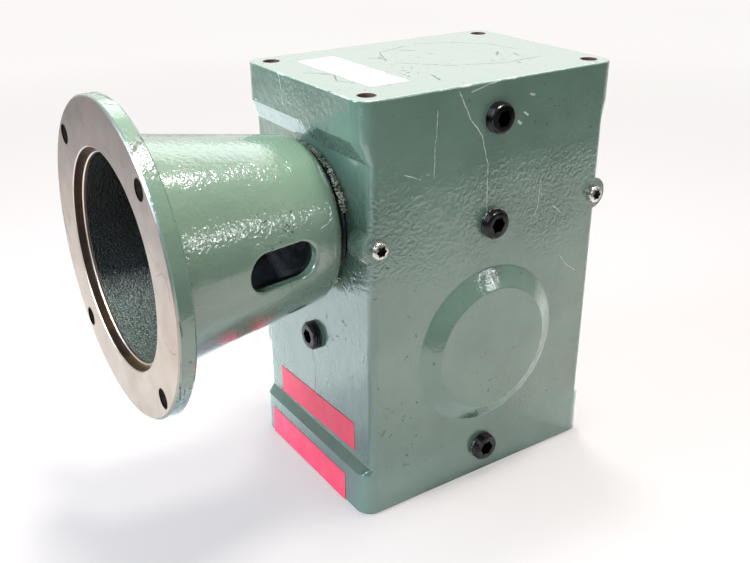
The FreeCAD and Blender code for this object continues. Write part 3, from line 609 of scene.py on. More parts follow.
        # Painted light on the lower wall near the mouth, and painted shade above it and deep in the bell.
        low = sheet.add("MapRange", sheet.axes["Z"], *self.lit_heights, 1.0, 0.0)
        deep = sheet.add("MapRange", sheet.axes["X"], self.mouth + 30 * MM, self.mouth + 52 * MM, 1.0, 0.0)
        painted_pool = sheet.add("Math", low, deep, operation="MULTIPLY")
        crest = sheet.add("MapRange", sand, 0.36, 0.66)
        black = sheet.add("Mix", deep, *self.shade_tones, data_type="RGBA")
        pale = sheet.add("Mix", crest, *self.lit_tones, data_type="RGBA")
        colour = sheet.add("Mix", painted_pool, black, pale, data_type="RGBA")
        return colour, sheet.add("Math", self.shade_metal_share, painted_pool, operation="SUBTRACT", use_clamp=True)

    def register_mask(self, sheet: Sheet, radius: Source) -> Source:
        """The register's floor and wall.

        Args:
            sheet: the material.
            radius: the distance from the worm's axis.

        Returns:
            One on them, nought elsewhere.
        """
        near = sheet.add("MapRange", sheet.axes["X"], self.mouth + 1.2 * MM, self.mouth + 1.8 * MM, 1.0, 0.0)
        inner = sheet.add("MapRange", radius, self.register_radius + 0.2 * MM,
                          self.register_radius + 0.4 * MM, 1.0, 0.0)
        return sheet.add("Math", near, inner, operation="MULTIPLY")

    def face_mask(self, sheet: Sheet) -> Source:
        """The turned face, and the chips that run from it over the rim.

        Args:
            sheet: the material.

        Returns:
            One on them, nought elsewhere.
        """
        bite = sheet.cloud(6, 5.0, 0.6, 0.8, 0.0, 2.2 * MM, Roughness=0.7)
        ragged = sheet.add("Math", sheet.axes["X"], bite, operation="SUBTRACT")
        return sheet.add("MapRange", ragged, self.face + 0.55 * MM, self.face + 0.75 * MM, 1.0, 0.0)

    def hole_mask(self, sheet: Sheet, radial: Source) -> Source:
        """The walls of the four bolt holes, which are drilled through the paint.

        Args:
            sheet: the material.
            radial: object coordinates from the worm's axis.

        Returns:
            One on the walls, nought elsewhere.
        """
        side = self.bolt_radius * math.sqrt(0.5)
        folded = sheet.add("VectorMath", radial, operation="ABSOLUTE")
        reach = sheet.add("VectorMath", folded, (0.0, side, side), operation="DISTANCE")
        return sheet.add("MapRange", reach, self.bolt_hole_radius + 0.15 * MM,
                         self.bolt_hole_radius + 0.35 * MM, 1.0, 0.0)

    def inner_mask(self, sheet: Sheet, radius: Source) -> Source:
        """The bell's inside, where the wall's radius is under a line that follows the cone.

        Args:
            sheet: the material.
            radius: the distance from the worm's axis.

        Returns:
            One inside, nought outside.
        """
        line = sheet.add("MapRange", sheet.axes["X"], self.mouth, self.tube_end, *self.wall_radii)
        gap = sheet.add("Math", line, radius, operation="SUBTRACT")
        return sheet.add("MapRange", gap, 0.0, 0.8 * MM)

    def iron_tone(self, sheet: Sheet, register: Source, radius: Source) -> Source:
        """The turned iron's colour: brown film in the register and spots, painted edge highlights, dark
        scores.

        Args:
            sheet: the material.
            register: one in the register.
            radius: the distance from the worm's axis.

        Returns:
            The colour.
        """
        stains = sheet.add("TexNoise", sheet.place, grain(24), 5.0, Distortion=1.2)
        # Darker towards the top and lighter towards the bottom, with streaks from the stain noise.
        film = sheet.add("Math", stains, 0.12, sheet.axes["Z"], operation="MULTIPLY_ADD")
        lifted = sheet.add("MapRange", film, 0.20, 0.27)
        upper = sheet.add("Mix", lifted, self.lower_iron, self.iron, data_type="RGBA")
        spots = sheet.add("MapRange", stains, 0.56, 0.75, 0.0, 0.3)
        total = sheet.add("Math", register, 0.92, spots, operation="MULTIPLY_ADD", use_clamp=True)
        low = sheet.add("MapRange", sheet.axes["Z"], *self.brass_heights, 0.85, 0.0)
        patchy = sheet.add("MapRange", stains, 0.42, 0.56)
        brassy = sheet.add("Math", low, patchy, operation="MULTIPLY")
        brown = sheet.add("Mix", brassy, self.stain, self.brass_film, data_type="RGBA")
        colour = sheet.add("Mix", total, upper, brown, data_type="RGBA")
        # Painted highlights: thin pale bands along the mouth's and the register's machined edges.
        for edge_radius, edge_place in ((self.mouth_radius + 0.4 * MM, self.mouth),
                                        (self.register_radius, self.face)):
            gaps = []
            for source, level in ((radius, edge_radius), (sheet.axes["X"], edge_place)):
                gap = sheet.add("Math", source, level, operation="SUBTRACT")
                gaps.append(sheet.add("Math", gap, operation="ABSOLUTE"))
            reach = sheet.add("Math", *gaps, operation="MAXIMUM")
            band = sheet.add("MapRange", reach, self.edge_width / 2, self.edge_width, 0.8, 0.0)
            colour = sheet.add("Mix", band, colour, self.edge, data_type="RGBA")
        scores = self.marks(sheet, self.score_marks())
        return sheet.add("Mix", scores, colour, self.score, data_type="RGBA")

    def score_marks(self) -> tuple[Scratch, ...]:
        """Scores that other parts left on the turned face."""
        x = self.face / MM
        return (
            Scratch(((x, -62.3, 184.7), (x, -70.0, 189.5), (x, -73.5, 188.6), (x, -77.0, 184.0),
                     (x, -76.3, 178.4)), 0.4),
            Scratch(((x, -64.5, 153.3), (x, -69.6, 151.0), (x, -74.0, 151.2), (x, -78.2, 153.0)), 0.35),
            Scratch(((x, 80.0, 171.2), (x, 78.2, 163.4), (x, 72.7, 155.5)), 1.2),
            Scratch(((x, 10.0, 240.0), (x, -14.0, 231.0), (x, -30.0, 226.0)), 0.25),
        )


@dataclass(frozen=True)
class PlainFinish:
    """What the plain finishes share: a colour that drifts to a shade of it, and a fine grain.

    A real grain of metal, rubber or paper is finer than a pixel, so it is drawn as coarse as it needs
    to show.
    """

    name: str
    colour: str
    shade: str

    def grained(self, size_mm: float, depth_mm: float, drift: Sequence[float], gloss: Span,
                **sockets: Any) -> bpy.types.Material:
        """Builds the material.

        Args:
            size_mm: the grain's size.
            depth_mm: the grain's depth.
            drift: the patches of the shade: their size in grains, detail and start.
            gloss: the least and the most roughness.
            sockets: other inputs of the shader.

        Returns:
            The finished material.
        """
        sheet = Sheet(self.name)
        fine = sheet.add("TexNoise", sheet.place, grain(size_mm), 4.0)
        times, detail, start = drift
        share = sheet.cloud(size_mm * times, detail, start, 0.68)
        colour = sheet.add("Mix", share, self.colour, self.shade, data_type="RGBA")
        rough = sheet.add("MapRange", fine, 0.3, 0.7, *gloss)
        bump = sheet.add("Bump", Height=fine, Distance=relief(depth_mm))
        sheet.use(Base_Color=colour, Roughness=rough, Normal=bump, **sockets)
        return sheet.material


@dataclass(frozen=True)
class BareMetal(PlainFinish):
    """Metal without paint: ground, turned, pressed or cast, told apart by grain and roughness."""

    roughness: float = 0.3
    spread: float = 0.12
    grain_mm: float = 1.2
    depth_mm: float = 0.01

    def material(self) -> bpy.types.Material:
        """Builds the material."""
        return self.grained(self.grain_mm, self.depth_mm, (9, 3.0, 0.35),
                            (self.roughness - self.spread / 2, self.roughness + self.spread / 2),
                            Metallic=1.0)


@dataclass(frozen=True)
class DullCoat(PlainFinish):
    """A finish without metal in it: rubber, gasket fibre, label film, paper or sealant."""

    roughness: float = 0.6
    grain_mm: float = 0.8
    depth_mm: float = 0.02
    spread: float = 0.16

    def material(self) -> bpy.types.Material:
        """Builds the material."""
        return self.grained(self.grain_mm, self.depth_mm, (11, 2.0, 0.38),
                            (self.roughness - self.spread / 2, self.roughness + self.spread / 2))


def dress(name: str, material: bpy.types.Material) -> None:
    """Gives every material slot of a node one finish.

    Args:
        name: the node.
        material: the finish.
    """
    materials = frame["nodes"][name].data.materials
    for index in range(len(materials)):
        materials[index] = material
    LOG.info("%s has the finish %s", name, material.name)


def into_data(name: str, mesh: bmesh.types.BMesh) -> bpy.types.Mesh:
    """Moves a bmesh into new mesh data and frees it.

    Args:
        name: the data's name.
        mesh: the shape.

    Returns:
        The new data.
    """
    data = bpy.data.meshes.new(name)
    mesh.to_mesh(data)
    mesh.free()
    return data


def add_object(name: str, data: Any) -> bpy.types.Object:
    """Adds a new object to the scene.

    Args:
        name: the object's name.
        data: its mesh, lamp or camera.

    Returns:
        The new object.
    """
    made = bpy.data.objects.new(name, data)
    bpy.context.scene.collection.objects.link(made)
    return made


def finished(name: str, mesh: bmesh.types.BMesh, material: bpy.types.Material) -> bpy.types.Object:
    """Turns a bmesh into a piece that rides on the housing.

    Args:
        name: the piece's name.
        mesh: the shape, in metres in the reducer's frame. It is freed.
        material: its finish.

    Returns:
        The new object, at the origin.
    """
    data = into_data(name, mesh)
    data.materials.append(material)
    for face in data.polygons:
        face.use_smooth = True
    data.set_sharp_from_angle(angle=math.radians(32))
    piece = add_object(name, data)
    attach(piece, "housing_body")
    LOG.info("piece %s: %d faces", name, len(data.polygons))
    return piece


def facing(place: Vector, out: Vector) -> Matrix:
    """A frame at a place whose Z points outwards and whose Y is as near to upwards as it can be.

    Args:
        place: the frame's origin.
        out: the way outwards.

    Returns:
        The frame, as a matrix.
    """
    z = out.normalized()
    x = UP.cross(z).normalized()
    return Matrix.Translation(place) @ Matrix((x, z.cross(x), z)).transposed().to_4x4()


def turned(profile: Sequence[Point], steps: int) -> bmesh.types.BMesh:
    """Spins a profile about Z.

    Args:
        profile: (radius, height) points, from the inside edge to the outside edge.
        steps: how many faces go round.

    Returns:
        A bmesh, open where the profile ends off the axis.
    """
    mesh = bmesh.new()
    verts = [mesh.verts.new((radius, 0.0, height)) for radius, height in profile]
    edges = [mesh.edges.new(pair) for pair in zip(verts, verts[1:])]
    bmesh.ops.spin(mesh, geom=verts + edges, axis=(0, 0, 1), cent=(0, 0, 0), angle=2 * math.pi,
                   steps=steps, use_merge=True)
    bmesh.ops.remove_doubles(mesh, verts=mesh.verts, dist=1e-7)
    return mesh


def add_socket(mesh: bmesh.types.BMesh, radius: float, depth: float, steps: int,
               lobe: float = 0.0) -> None:
    """Sinks a six-sided wrench socket into the flat open top of a turned body.

    Args:
        mesh: the body, whose innermost open loop lies at nought.
        radius: to the corners.
        depth: of the socket.
        steps: vertices round the mouth, the same as the body's.
        lobe: depth of each lobe as a share of the radius. A flat-sided socket has none.
    """
    sides = 6
    rim = [edge for edge in mesh.edges if edge.is_boundary
           and all(abs(vert.co.z) < 1e-6 for vert in edge.verts)]
    made = bmesh.ops.create_circle(mesh, segments=steps, radius=radius)["verts"]
    for vert in made:
        angle = math.atan2(vert.co.y, vert.co.x) % (2 * math.pi / sides)
        if lobe:
            vert.co *= 1 - lobe * (0.5 - 0.5 * math.cos(sides * angle))
        else:
            vert.co *= math.cos(math.pi / sides) / math.cos(angle - math.pi / sides)
    loop = list({edge for vert in made for edge in vert.link_edges})
    bmesh.ops.bridge_loops(mesh, edges=rim + loop)
    wall = bmesh.ops.extrude_edge_only(mesh, edges=loop)["geom"]
    low = [item for item in wall if isinstance(item, bmesh.types.BMVert)]
    bmesh.ops.translate(mesh, verts=low, vec=(0.0, 0.0, -depth))
    low_edges = [item for item in wall if isinstance(item, bmesh.types.BMEdge)
                 and all(abs(vert.co.z + depth) < 1e-7 for vert in item.verts)]
    bmesh.ops.edgeloop_fill(mesh, edges=low_edges)
    bmesh.ops.recalc_face_normals(mesh, faces=mesh.faces)


def shard(mesh: bmesh.types.BMesh, size: Place, turn: Matrix, place: Place, seed: int) -> None:
    """Adds one small broken flake to a mesh.

    Args:
        mesh: the mesh that it goes into.
        size: its length, thickness and width.
        turn: its rotation.
        place: its middle.
        seed: tells its shape from its neighbours'.
    """
    made = bmesh.ops.create_icosphere(mesh, subdivisions=1, radius=0.5)["verts"]
    bmesh.ops.scale(mesh, vec=size, verts=made)
    for vert in made:
        vert.co *= 1 + 0.5 * noise.noise(vert.co * 2600 + Vector((seed, 0, 0)))
    bmesh.ops.rotate(mesh, verts=made, cent=(0, 0, 0), matrix=turn)
    bmesh.ops.translate(mesh, verts=made, vec=place)


@dataclass
class GearHousing:
    """The cast housing, which keeps its own shape."""

    enamel: HousingEnamel

    def build(self) -> None:
        """Gives the housing its enamel."""
        dress("gear_housing", self.enamel.material())


@dataclass
class MotorAdapter:
    """The cast bell between the motor's face and the housing, with the sealant round its end."""

    enamel: BellEnamel
    bead: DullCoat
    crust: DullCoat
    bead_radius: float = 1.15 * MM
    bead_steps: int = 260
    flake_count: int = 330
    flake_size: float = 2.4 * MM
    flake_spans: tuple[Span, ...] = ((0.3, 1.0), (0.2, 0.7), (0.1, 0.3))
    upper_arc: Span = (72, 160)
    lower_arc: Span = (222, 246)

    def build(self) -> None:
        """Gives the bell its finish and lays the sealant and its crust."""
        dress("motor_adapter", self.enamel.material())
        self.sealant()
        self.flakes()

    def sealant(self) -> None:
        """A ragged bead of sealant squeezed out between the bell and the housing."""
        low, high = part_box("adapter_seal_ring")
        ring_radius = (high.y - low.y) / 2 - self.bead_radius * 1.2
        mesh = bmesh.new()
        made = bmesh.ops.create_circle(mesh, segments=10, radius=self.bead_radius)["verts"]
        bmesh.ops.scale(mesh, vec=(1.0, 1.25, 1.0), verts=made)
        bmesh.ops.rotate(mesh, verts=made, cent=(0, 0, 0), matrix=Matrix.Rotation(math.pi / 2, 3, "X"))
        bmesh.ops.translate(mesh, verts=made, vec=(0.0, 0.0, ring_radius))
        edges = list({edge for vert in made for edge in vert.link_edges})
        bmesh.ops.spin(mesh, geom=made + edges, axis=(1, 0, 0), cent=(0, 0, 0), angle=2 * math.pi,
                       steps=self.bead_steps, use_merge=True)
        for vert in mesh.verts:
            rough = noise.noise(vert.co * 900) * 0.35 + noise.noise(vert.co * 260) * 0.45
            out = Vector((0.0, vert.co.y, vert.co.z)).normalized()
            vert.co += out * (rough * self.bead_radius)
            vert.co.x += noise.noise(vert.co * 500 + Vector((7, 3, 1))) * 0.3 * self.bead_radius
        middle = (low.x + high.x) / 2
        bmesh.ops.translate(mesh, verts=mesh.verts, vec=(middle, 0.0, worm_height()))
        bmesh.ops.recalc_face_normals(mesh, faces=mesh.faces)
        piece = finished("sealant_bead", mesh, self.bead.material())
        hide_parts("adapter_seal_ring")

    def flakes(self) -> None:
        """The broken crust of old paint that clings to the sealant, every sixth flake on its lower arc."""
        low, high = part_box("adapter_seal_ring")
        reach = (high.y - low.y) / 2
        chance = random.Random(11)
        mesh = bmesh.new()
        for index in range(self.flake_count):
            angle = math.radians(chance.uniform(*(self.upper_arc if index % 6 else self.lower_arc)))
            size = tuple(self.flake_size * chance.uniform(*span) for span in self.flake_spans)
            spin = Matrix.Rotation(chance.uniform(0, math.tau), 3, Vector((chance.random(), 0.4, 0.7)))
            radius = reach + chance.uniform(0.0, 0.8) * MM
            x = high.x - chance.uniform(0.05, 0.6) * (high.x - low.x)
            place = (x, radius * math.cos(angle), worm_height() + radius * math.sin(angle))
            shard(mesh, size, spin, place, index)
        bmesh.ops.recalc_face_normals(mesh, faces=mesh.faces)
        finished("sealant_flakes", mesh, self.crust.material())


@dataclass
class PipePlugs:
    """The four black pipe plugs with hexagon sockets."""

    metal: BareMetal
    tape: DullCoat
    steps: int = 48
    thread_pitch: float = 1.41 * MM
    thread_end: float = 7.0 * MM
    thread_depth: float = 0.75 * MM
    socket_radius: float = 4.58 * MM
    socket_depth: float = 8.0 * MM

    def profile(self, radius: float, length: float) -> list[Point]:
        """The turned outline from the socket's mouth to the inner end, with thread crests.

        Args:
            radius: of the plug.
            length: of the plug.

        Returns:
            (radius, height) points.
        """
        root = radius - self.thread_depth
        points = [(self.socket_radius + 0.9 * MM, 0.0), (radius - 1.5 * MM, 0.0),
                  (radius - 1.1 * MM, -0.15 * MM), (root, -0.7 * MM)]
        depth = 1.0 * MM
        while depth < self.thread_end:
            points += [(root, -depth), (radius, -depth - self.thread_pitch * 0.45),
                       (radius, -depth - self.thread_pitch * 0.6)]
            depth += self.thread_pitch
        points += [(radius - 0.6 * MM, -depth), (radius - 0.6 * MM, -length), (0.0005 * MM, -length)]
        return points

    def build(self) -> None:
        """Makes the four plugs in place of the plain ones."""
        material = self.metal.material()
        for node in ("fill_plug", "level_plug", "drain_plug", "side_plug"):
            low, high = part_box(node)
            middle = (low + high) / 2
            if node == "side_plug":
                out, place = Vector((-1, 0, 0)), Vector((low.x, middle.y, middle.z))
                radius, length = (high.y - low.y) / 2, high.x - low.x
            else:
                out, place = Vector((0, -1, 0)), Vector((middle.x, low.y, middle.z))
                radius, length = (high.x - low.x) / 2, high.y - low.y
            mesh = turned(self.profile(radius, length), self.steps)
            add_socket(mesh, self.socket_radius, self.socket_depth, self.steps)
            bmesh.ops.transform(mesh, matrix=facing(place, out), verts=mesh.verts)
            piece = finished(node + "_threaded", mesh, material)
            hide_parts(node)
        self.scraps("level_plug", (15, 150), 34)
        self.scraps("drain_plug", (140, 265), 30)

    def scraps(self, node: str, arc: Span, count: int) -> None:
        """Scraps of thread tape pressed out round a plug.

        Args:
            node: the plug.
            arc: from and to, in degrees, as seen from the front with the right at nought.
            count: how many scraps.
        """
        low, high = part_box(node)
        middle, radius = (low + high) / 2, (high.x - low.x) / 2
        chance = random.Random(count)
        mesh = bmesh.new()
        for index in range(count):
            angle = math.radians(chance.uniform(*arc))
            size = (chance.uniform(0.5, 1.9) * MM, 0.25 * MM, chance.uniform(0.25, 0.7) * MM)
            reach = radius + chance.uniform(-0.35, 0.35) * MM
            place = (middle.x + reach * math.cos(angle), (FRONT_MM - chance.uniform(0.1, 1.3)) * MM,
                     middle.z + reach * math.sin(angle))
            shard(mesh, size, Matrix.Rotation(math.pi / 2 - angle, 3, "Y"), place, index)
        bmesh.ops.recalc_face_normals(mesh, faces=mesh.faces)
        finished(node + "_tape", mesh, self.tape.material())


@dataclass
class LockScrews:
    """Two bright button-head screws with six-lobe sockets."""

    metal: BareMetal
    steps: int = 48
    head_radius: float = 5.0 * MM
    head_height: float = 3.8 * MM
    socket_radius: float = 3.1 * MM
    socket_depth: float = 3.0 * MM
    socket_lobe: float = 0.24

    def profile(self) -> list[Point]:
        """The head's turned outline, from the socket's mouth over the button to its back."""
        return [(self.socket_radius + 0.35 * MM, 0.0), (self.head_radius * 0.8, -0.15 * MM),
                (self.head_radius * 0.93, -0.7 * MM), (self.head_radius, -1.7 * MM),
                (self.head_radius, -self.head_height), (0.0006 * MM, -self.head_height)]

    def build(self) -> None:
        """Makes the two screws as one piece."""
        low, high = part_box("lock_screws")
        material = self.metal.material()
        whole = bmesh.new()
        for x in (low.x + self.head_radius, high.x - self.head_radius):
            mesh = turned(self.profile(), self.steps)
            add_socket(mesh, self.socket_radius, self.socket_depth, self.steps, self.socket_lobe)
            place = Vector((x, low.y, (low.z + high.z) / 2))
            bmesh.ops.transform(mesh, matrix=facing(place, Vector((0, -1, 0))), verts=mesh.verts)
            data = into_data("screw", mesh)
            whole.from_mesh(data)
            bpy.data.meshes.remove(data)
        piece = finished("lock_screws_star", whole, material)
        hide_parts("lock_screws")


@dataclass
class Label:
    """A blank strip of label film on the adapter side of the housing."""

    name: str
    centre: Place
    width: float
    height: float
    tilt: float = 0.0
    thickness: float = 0.15 * MM
    ripple: float = 0.10 * MM

    def build(self, material: bpy.types.Material) -> None:
        """Lays the strip on its face, with the small waves of a strip put on by hand.

        Args:
            material: the film.
        """
        mesh = bmesh.new()
        made = bmesh.ops.create_grid(mesh, x_segments=60, y_segments=12, size=0.5)["verts"]
        bmesh.ops.scale(mesh, vec=(self.width, self.height, 1.0), verts=made)
        for vert in made:
            vert.co.z = (noise.noise(vert.co * 90) + 0.6) * self.ripple
        turn = Matrix.Rotation(math.radians(self.tilt), 4, "Z")
        bmesh.ops.transform(mesh, matrix=facing(Vector(self.centre), Vector((-1, 0, 0))) @ turn,
                            verts=made)
        bmesh.ops.solidify(mesh, geom=mesh.faces, thickness=-self.thickness)
        bmesh.ops.recalc_face_normals(mesh, faces=mesh.faces)
        finished(self.name, mesh, material)


@dataclass
class Labels:
    """The two blank labels and the paper sticker."""

    film: DullCoat
    paper: DullCoat
    lift: float = 0.05 * MM
    sticker_size: Point = (24 * MM, 75 * MM)
    sticker_place: Point = (-52 * MM, 2 * MM)

    def build(self) -> None:
        """Makes the labels and the sticker."""
        low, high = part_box("gear_housing")
        film = self.film.material()
        Label("label_upper", (RECESS_MM * MM - self.lift, 1.9 * MM, 43.8 * MM), 87.5 * MM, 18.4 * MM,
              2.0).build(film)
        Label("label_lower", (low.x - self.lift, 5.4 * MM, 10.6 * MM), 89.5 * MM, 19.4 * MM).build(film)
        self.sticker(high.z)

    def sticker(self, top: float) -> None:
        """Lays the paper sticker on the top face, with its corners a little worn.

        Args:
            top: the height of the top face.
        """
        width, length = self.sticker_size
        mesh = bmesh.new()
        made = bmesh.ops.create_grid(mesh, x_segments=40, y_segments=16, size=0.5)["verts"]
        bmesh.ops.scale(mesh, vec=(width, length, 1.0), verts=made)
        for vert in made:
            edge = max(abs(vert.co.x) / (width / 2), abs(vert.co.y) / (length / 2))
            if edge > 0.98:
                vert.co.x += noise.noise(vert.co * 400) * 1.5 * MM
                vert.co.y += noise.noise(vert.co * 400 + Vector((5, 5, 5))) * 1.5 * MM
        bmesh.ops.translate(mesh, verts=made, vec=(*self.sticker_place, top + 0.06 * MM))
        finished("paper_sticker", mesh, self.paper.material())


@dataclass
class InnerParts:
    """The pieces that keep their own shape and get a better finish."""

    finishes: dict[str, Any]

    def build(self) -> None:
        """Gives each remaining node the first finish whose key is a part of its name."""
        made: dict[str, bpy.types.Material] = {}
        for name in frame["nodes"]:
            key = next((part for part in self.finishes if part in name), None)
            if key is None:
                continue
            if key not in made:
                made[key] = self.finishes[key].material()
            dress(name, made[key])


@dataclass(frozen=True)
class PaleTable:
    """Matt white laminate. The eye sees it near white and even, with soft shadows.

    Gloss mirrors it darker and tinted, as in a room with windows: cool beside the reducer, warm and
    dim to the left, and dark past its front edge.
    """

    name: str = "pale_table"
    roughness: float = 0.7
    front_edge: float = -0.44
    lit: str = "d2c8cc"
    seen: str = "b1adaf"
    glow: tuple[str, str] = ("fdf8fa", "fefdf9")
    warm: tuple[str, str] = ("837b76", "e4d8cf")
    cool: str = "c6d0d3"
    front: str = "bebcba"
    dark: str = "3c3f3e"

    def mirror_tone(self, sheet: Sheet) -> Source:
        """The colour that gloss mirrors.

        Args:
            sheet: the material.

        Returns:
            The colour.
        """
        across, side, _ = sheet.axes
        left = sheet.add("MapRange", across, -0.62, -0.37)
        warm = sheet.add("Mix", left, *self.warm, data_type="RGBA")
        near = sheet.add("MapRange", across, -0.335, -0.285)
        cool = sheet.add("Mix", near, warm, self.cool, data_type="RGBA")
        back = sheet.add("MapRange", side, -0.12, -0.06)
        return sheet.add("Mix", back, self.front, cool, data_type="RGBA")

    def material(self) -> bpy.types.Material:
        """Builds the material.

        Returns:
            The finished material.
        """
        sheet = Sheet(self.name)
        rays = sheet.add("LightPath").outputs
        mirrored = sheet.add("Math", rays["Is Glossy Ray"], rays["Is Transmission Ray"], operation="MAXIMUM")
        plain = sheet.add("Mix", rays["Is Camera Ray"], self.lit, self.seen, data_type="RGBA")
        table = sheet.add("Mix", mirrored, plain, self.mirror_tone(sheet), data_type="RGBA")
        beyond = sheet.add("MapRange", sheet.axes["Y"], self.front_edge - 0.02, self.front_edge, 1.0, 0.0)
        dark = sheet.add("Math", mirrored, beyond, operation="MULTIPLY")
        ground = sheet.add("Mix", dark, table, self.dark, data_type="RGBA")
        sheet.use(Base_Color=ground, Roughness=self.roughness)
        cloud = sheet.add("TexNoise", sheet.place, grain(400), 1.0)
        tint = sheet.add("Mix", cloud, *self.glow, data_type="RGBA")
        glow = sheet.add("Emission", tint, 1.0)
        reach = sheet.add("VectorMath", sheet.place, operation="LENGTH")
        far = sheet.add("MapRange", reach, 0.35, 1.3, 0.5, 0.97)
        share = sheet.add("Math", rays["Is Camera Ray"], far, operation="MULTIPLY")
        mixed = sheet.add("MixShader", share, sheet.shader, glow)
        feed(sheet.tree, sheet.tree.nodes["Material Output"].inputs["Surface"], mixed)
        return sheet.material


@dataclass
class Lamp:
    """A soft lamp that looks at a point."""

    name: str
    place: Place
    target: Place
    size: Point
    power: float
    colour: str = "ffffff"
    mirrored: bool = True

    def build(self) -> None:
        """Makes the lamp."""
        light = bpy.data.lights.new(self.name, "AREA")
        light.shape = "RECTANGLE"
        light.size, light.size_y = self.size
        light.energy = self.power
        light.color = linear(self.colour)[:3]
        lamp = add_object(self.name, light)
        place = Vector(self.place)
        aim = Vector(self.target) - place
        lamp.matrix_world = Matrix.Translation(place) @ aim.to_track_quat("-Z", "Y").to_matrix().to_4x4()
        lamp.visible_camera = False
        lamp.visible_glossy = self.mirrored


@dataclass
class Studio:
    """The pale table, the soft lamps, the room and the camera."""

    table: PaleTable
    focal_px: float = 935.23
    image_width_px: float = 750.0
    sensor_mm: float = 36.0
    camera_place: Place = (-0.32211, -0.42828, 0.35612)
    yaw: float = 33.52
    pitch: float = 24.89
    roll: float = -0.32
    table_reach: float = 4.0
    sky: float = 0.12
    sky_tints: tuple[str, str] = ("f8f4f5", "7fa09f")

    def camera(self) -> None:
        """Sets the camera where the photograph was taken from."""
        yaw, pitch, roll = (math.radians(angle) for angle in (self.yaw, self.pitch, self.roll))
        ahead = Vector((math.sin(yaw) * math.cos(pitch), math.cos(yaw) * math.cos(pitch),
                        -math.sin(pitch)))
        level = Vector((math.cos(yaw), -math.sin(yaw), 0.0))
        up = level.cross(ahead)
        right = math.cos(roll) * level + math.sin(roll) * up
        up = -math.sin(roll) * level + math.cos(roll) * up
        data = bpy.data.cameras.new("camera")
        data.sensor_width = self.sensor_mm
        data.lens = self.focal_px / self.image_width_px * self.sensor_mm
        camera = add_object("camera", data)
        matrix = Matrix((right, up, -ahead)).transposed().to_4x4()
        matrix.translation = Vector(self.camera_place)
        camera.matrix_world = matrix
        bpy.context.scene.camera = camera

    def floor(self) -> None:
        """A wide table top."""
        mesh = bmesh.new()
        bmesh.ops.create_grid(mesh, x_segments=2, y_segments=2, size=self.table_reach)
        floor = add_object("table_top", into_data("table_top", mesh))
        floor.data.materials.append(self.table.material())

    def world(self) -> None:
        """An even, weak sky. The eye and the gloss see a pale backdrop in it, cooler to the left."""
        world = bpy.data.worlds.new("room")
        bpy.context.scene.world = world
        world.use_nodes = True
        tree = world.node_tree
        rays = add_node(tree, "LightPath").outputs
        mirrored = add_node(tree, "Math", rays["Is Glossy Ray"], rays["Is Transmission Ray"],
                            operation="MAXIMUM")
        ray = add_node(tree, "TexCoord").outputs["Generated"]
        across, side, _ = add_node(tree, "SeparateXYZ", ray).outputs
        backdrop = add_node(tree, "MapRange", side, -0.75, 0.35, 0.3, 0.95)
        dim = add_node(tree, "Mix", mirrored, self.sky, backdrop)
        level = add_node(tree, "Mix", rays["Is Camera Ray"], dim, 1.0)
        left = add_node(tree, "MapRange", across, -0.75, -0.1, 1.0, 0.0)
        cool = add_node(tree, "Math", mirrored, left, operation="MULTIPLY")
        tint = add_node(tree, "Mix", cool, *self.sky_tints, data_type="RGBA")
        background = tree.nodes["Background"]
        feed(tree, background.inputs["Color"], tint)
        feed(tree, background.inputs["Strength"], level)

    def build(self) -> None:
        """Makes the table, the lamps, the room and the camera."""
        self.camera()
        self.floor()
        self.world()
        lamps = [
            Lamp("overhead", (0.05, -0.11, 1.5), (0.0, 0.0, 0.1), (0.28, 0.28), 26.0, "fff9ef"),
            # The eye sees the soft shadow that this one casts, and no gloss mirrors it.
            Lamp("ceiling", (0.21, 0.37, 1.5), (0.0, 0.0, 0.1), (0.22, 0.22), 19.0, "fffaf2", False),
            Lamp("back_window", (0.67, 0.92, 1.2), (-0.1, 0.0, 0.2), (1.3, 0.65), 5.0, "f6fbff"),
            Lamp("left_window", (-1.0, 0.15, 0.62), (-0.1, 0.0, 0.12), (0.4, 0.4), 15.0, "dcecff"),
            Lamp("front_fill", (-0.85, -1.15, 0.85), (0.0, 0.0, 0.12), (1.0, 0.8), 7.0, "eaf4ff"),
            Lamp("spark_back", (0.48, 0.0, 1.25), (-0.1, 0.0, 0.2), (0.06, 0.06), 2.0),
            Lamp("spark_front", (0.9, -1.3, 0.75), (0.0, 0.0, 0.15), (0.15, 0.15), 2.0),
        ]
        for lamp in lamps:
            lamp.build()
        bpy.context.scene.view_settings.view_transform = "Standard"
        LOG.info("studio is ready")


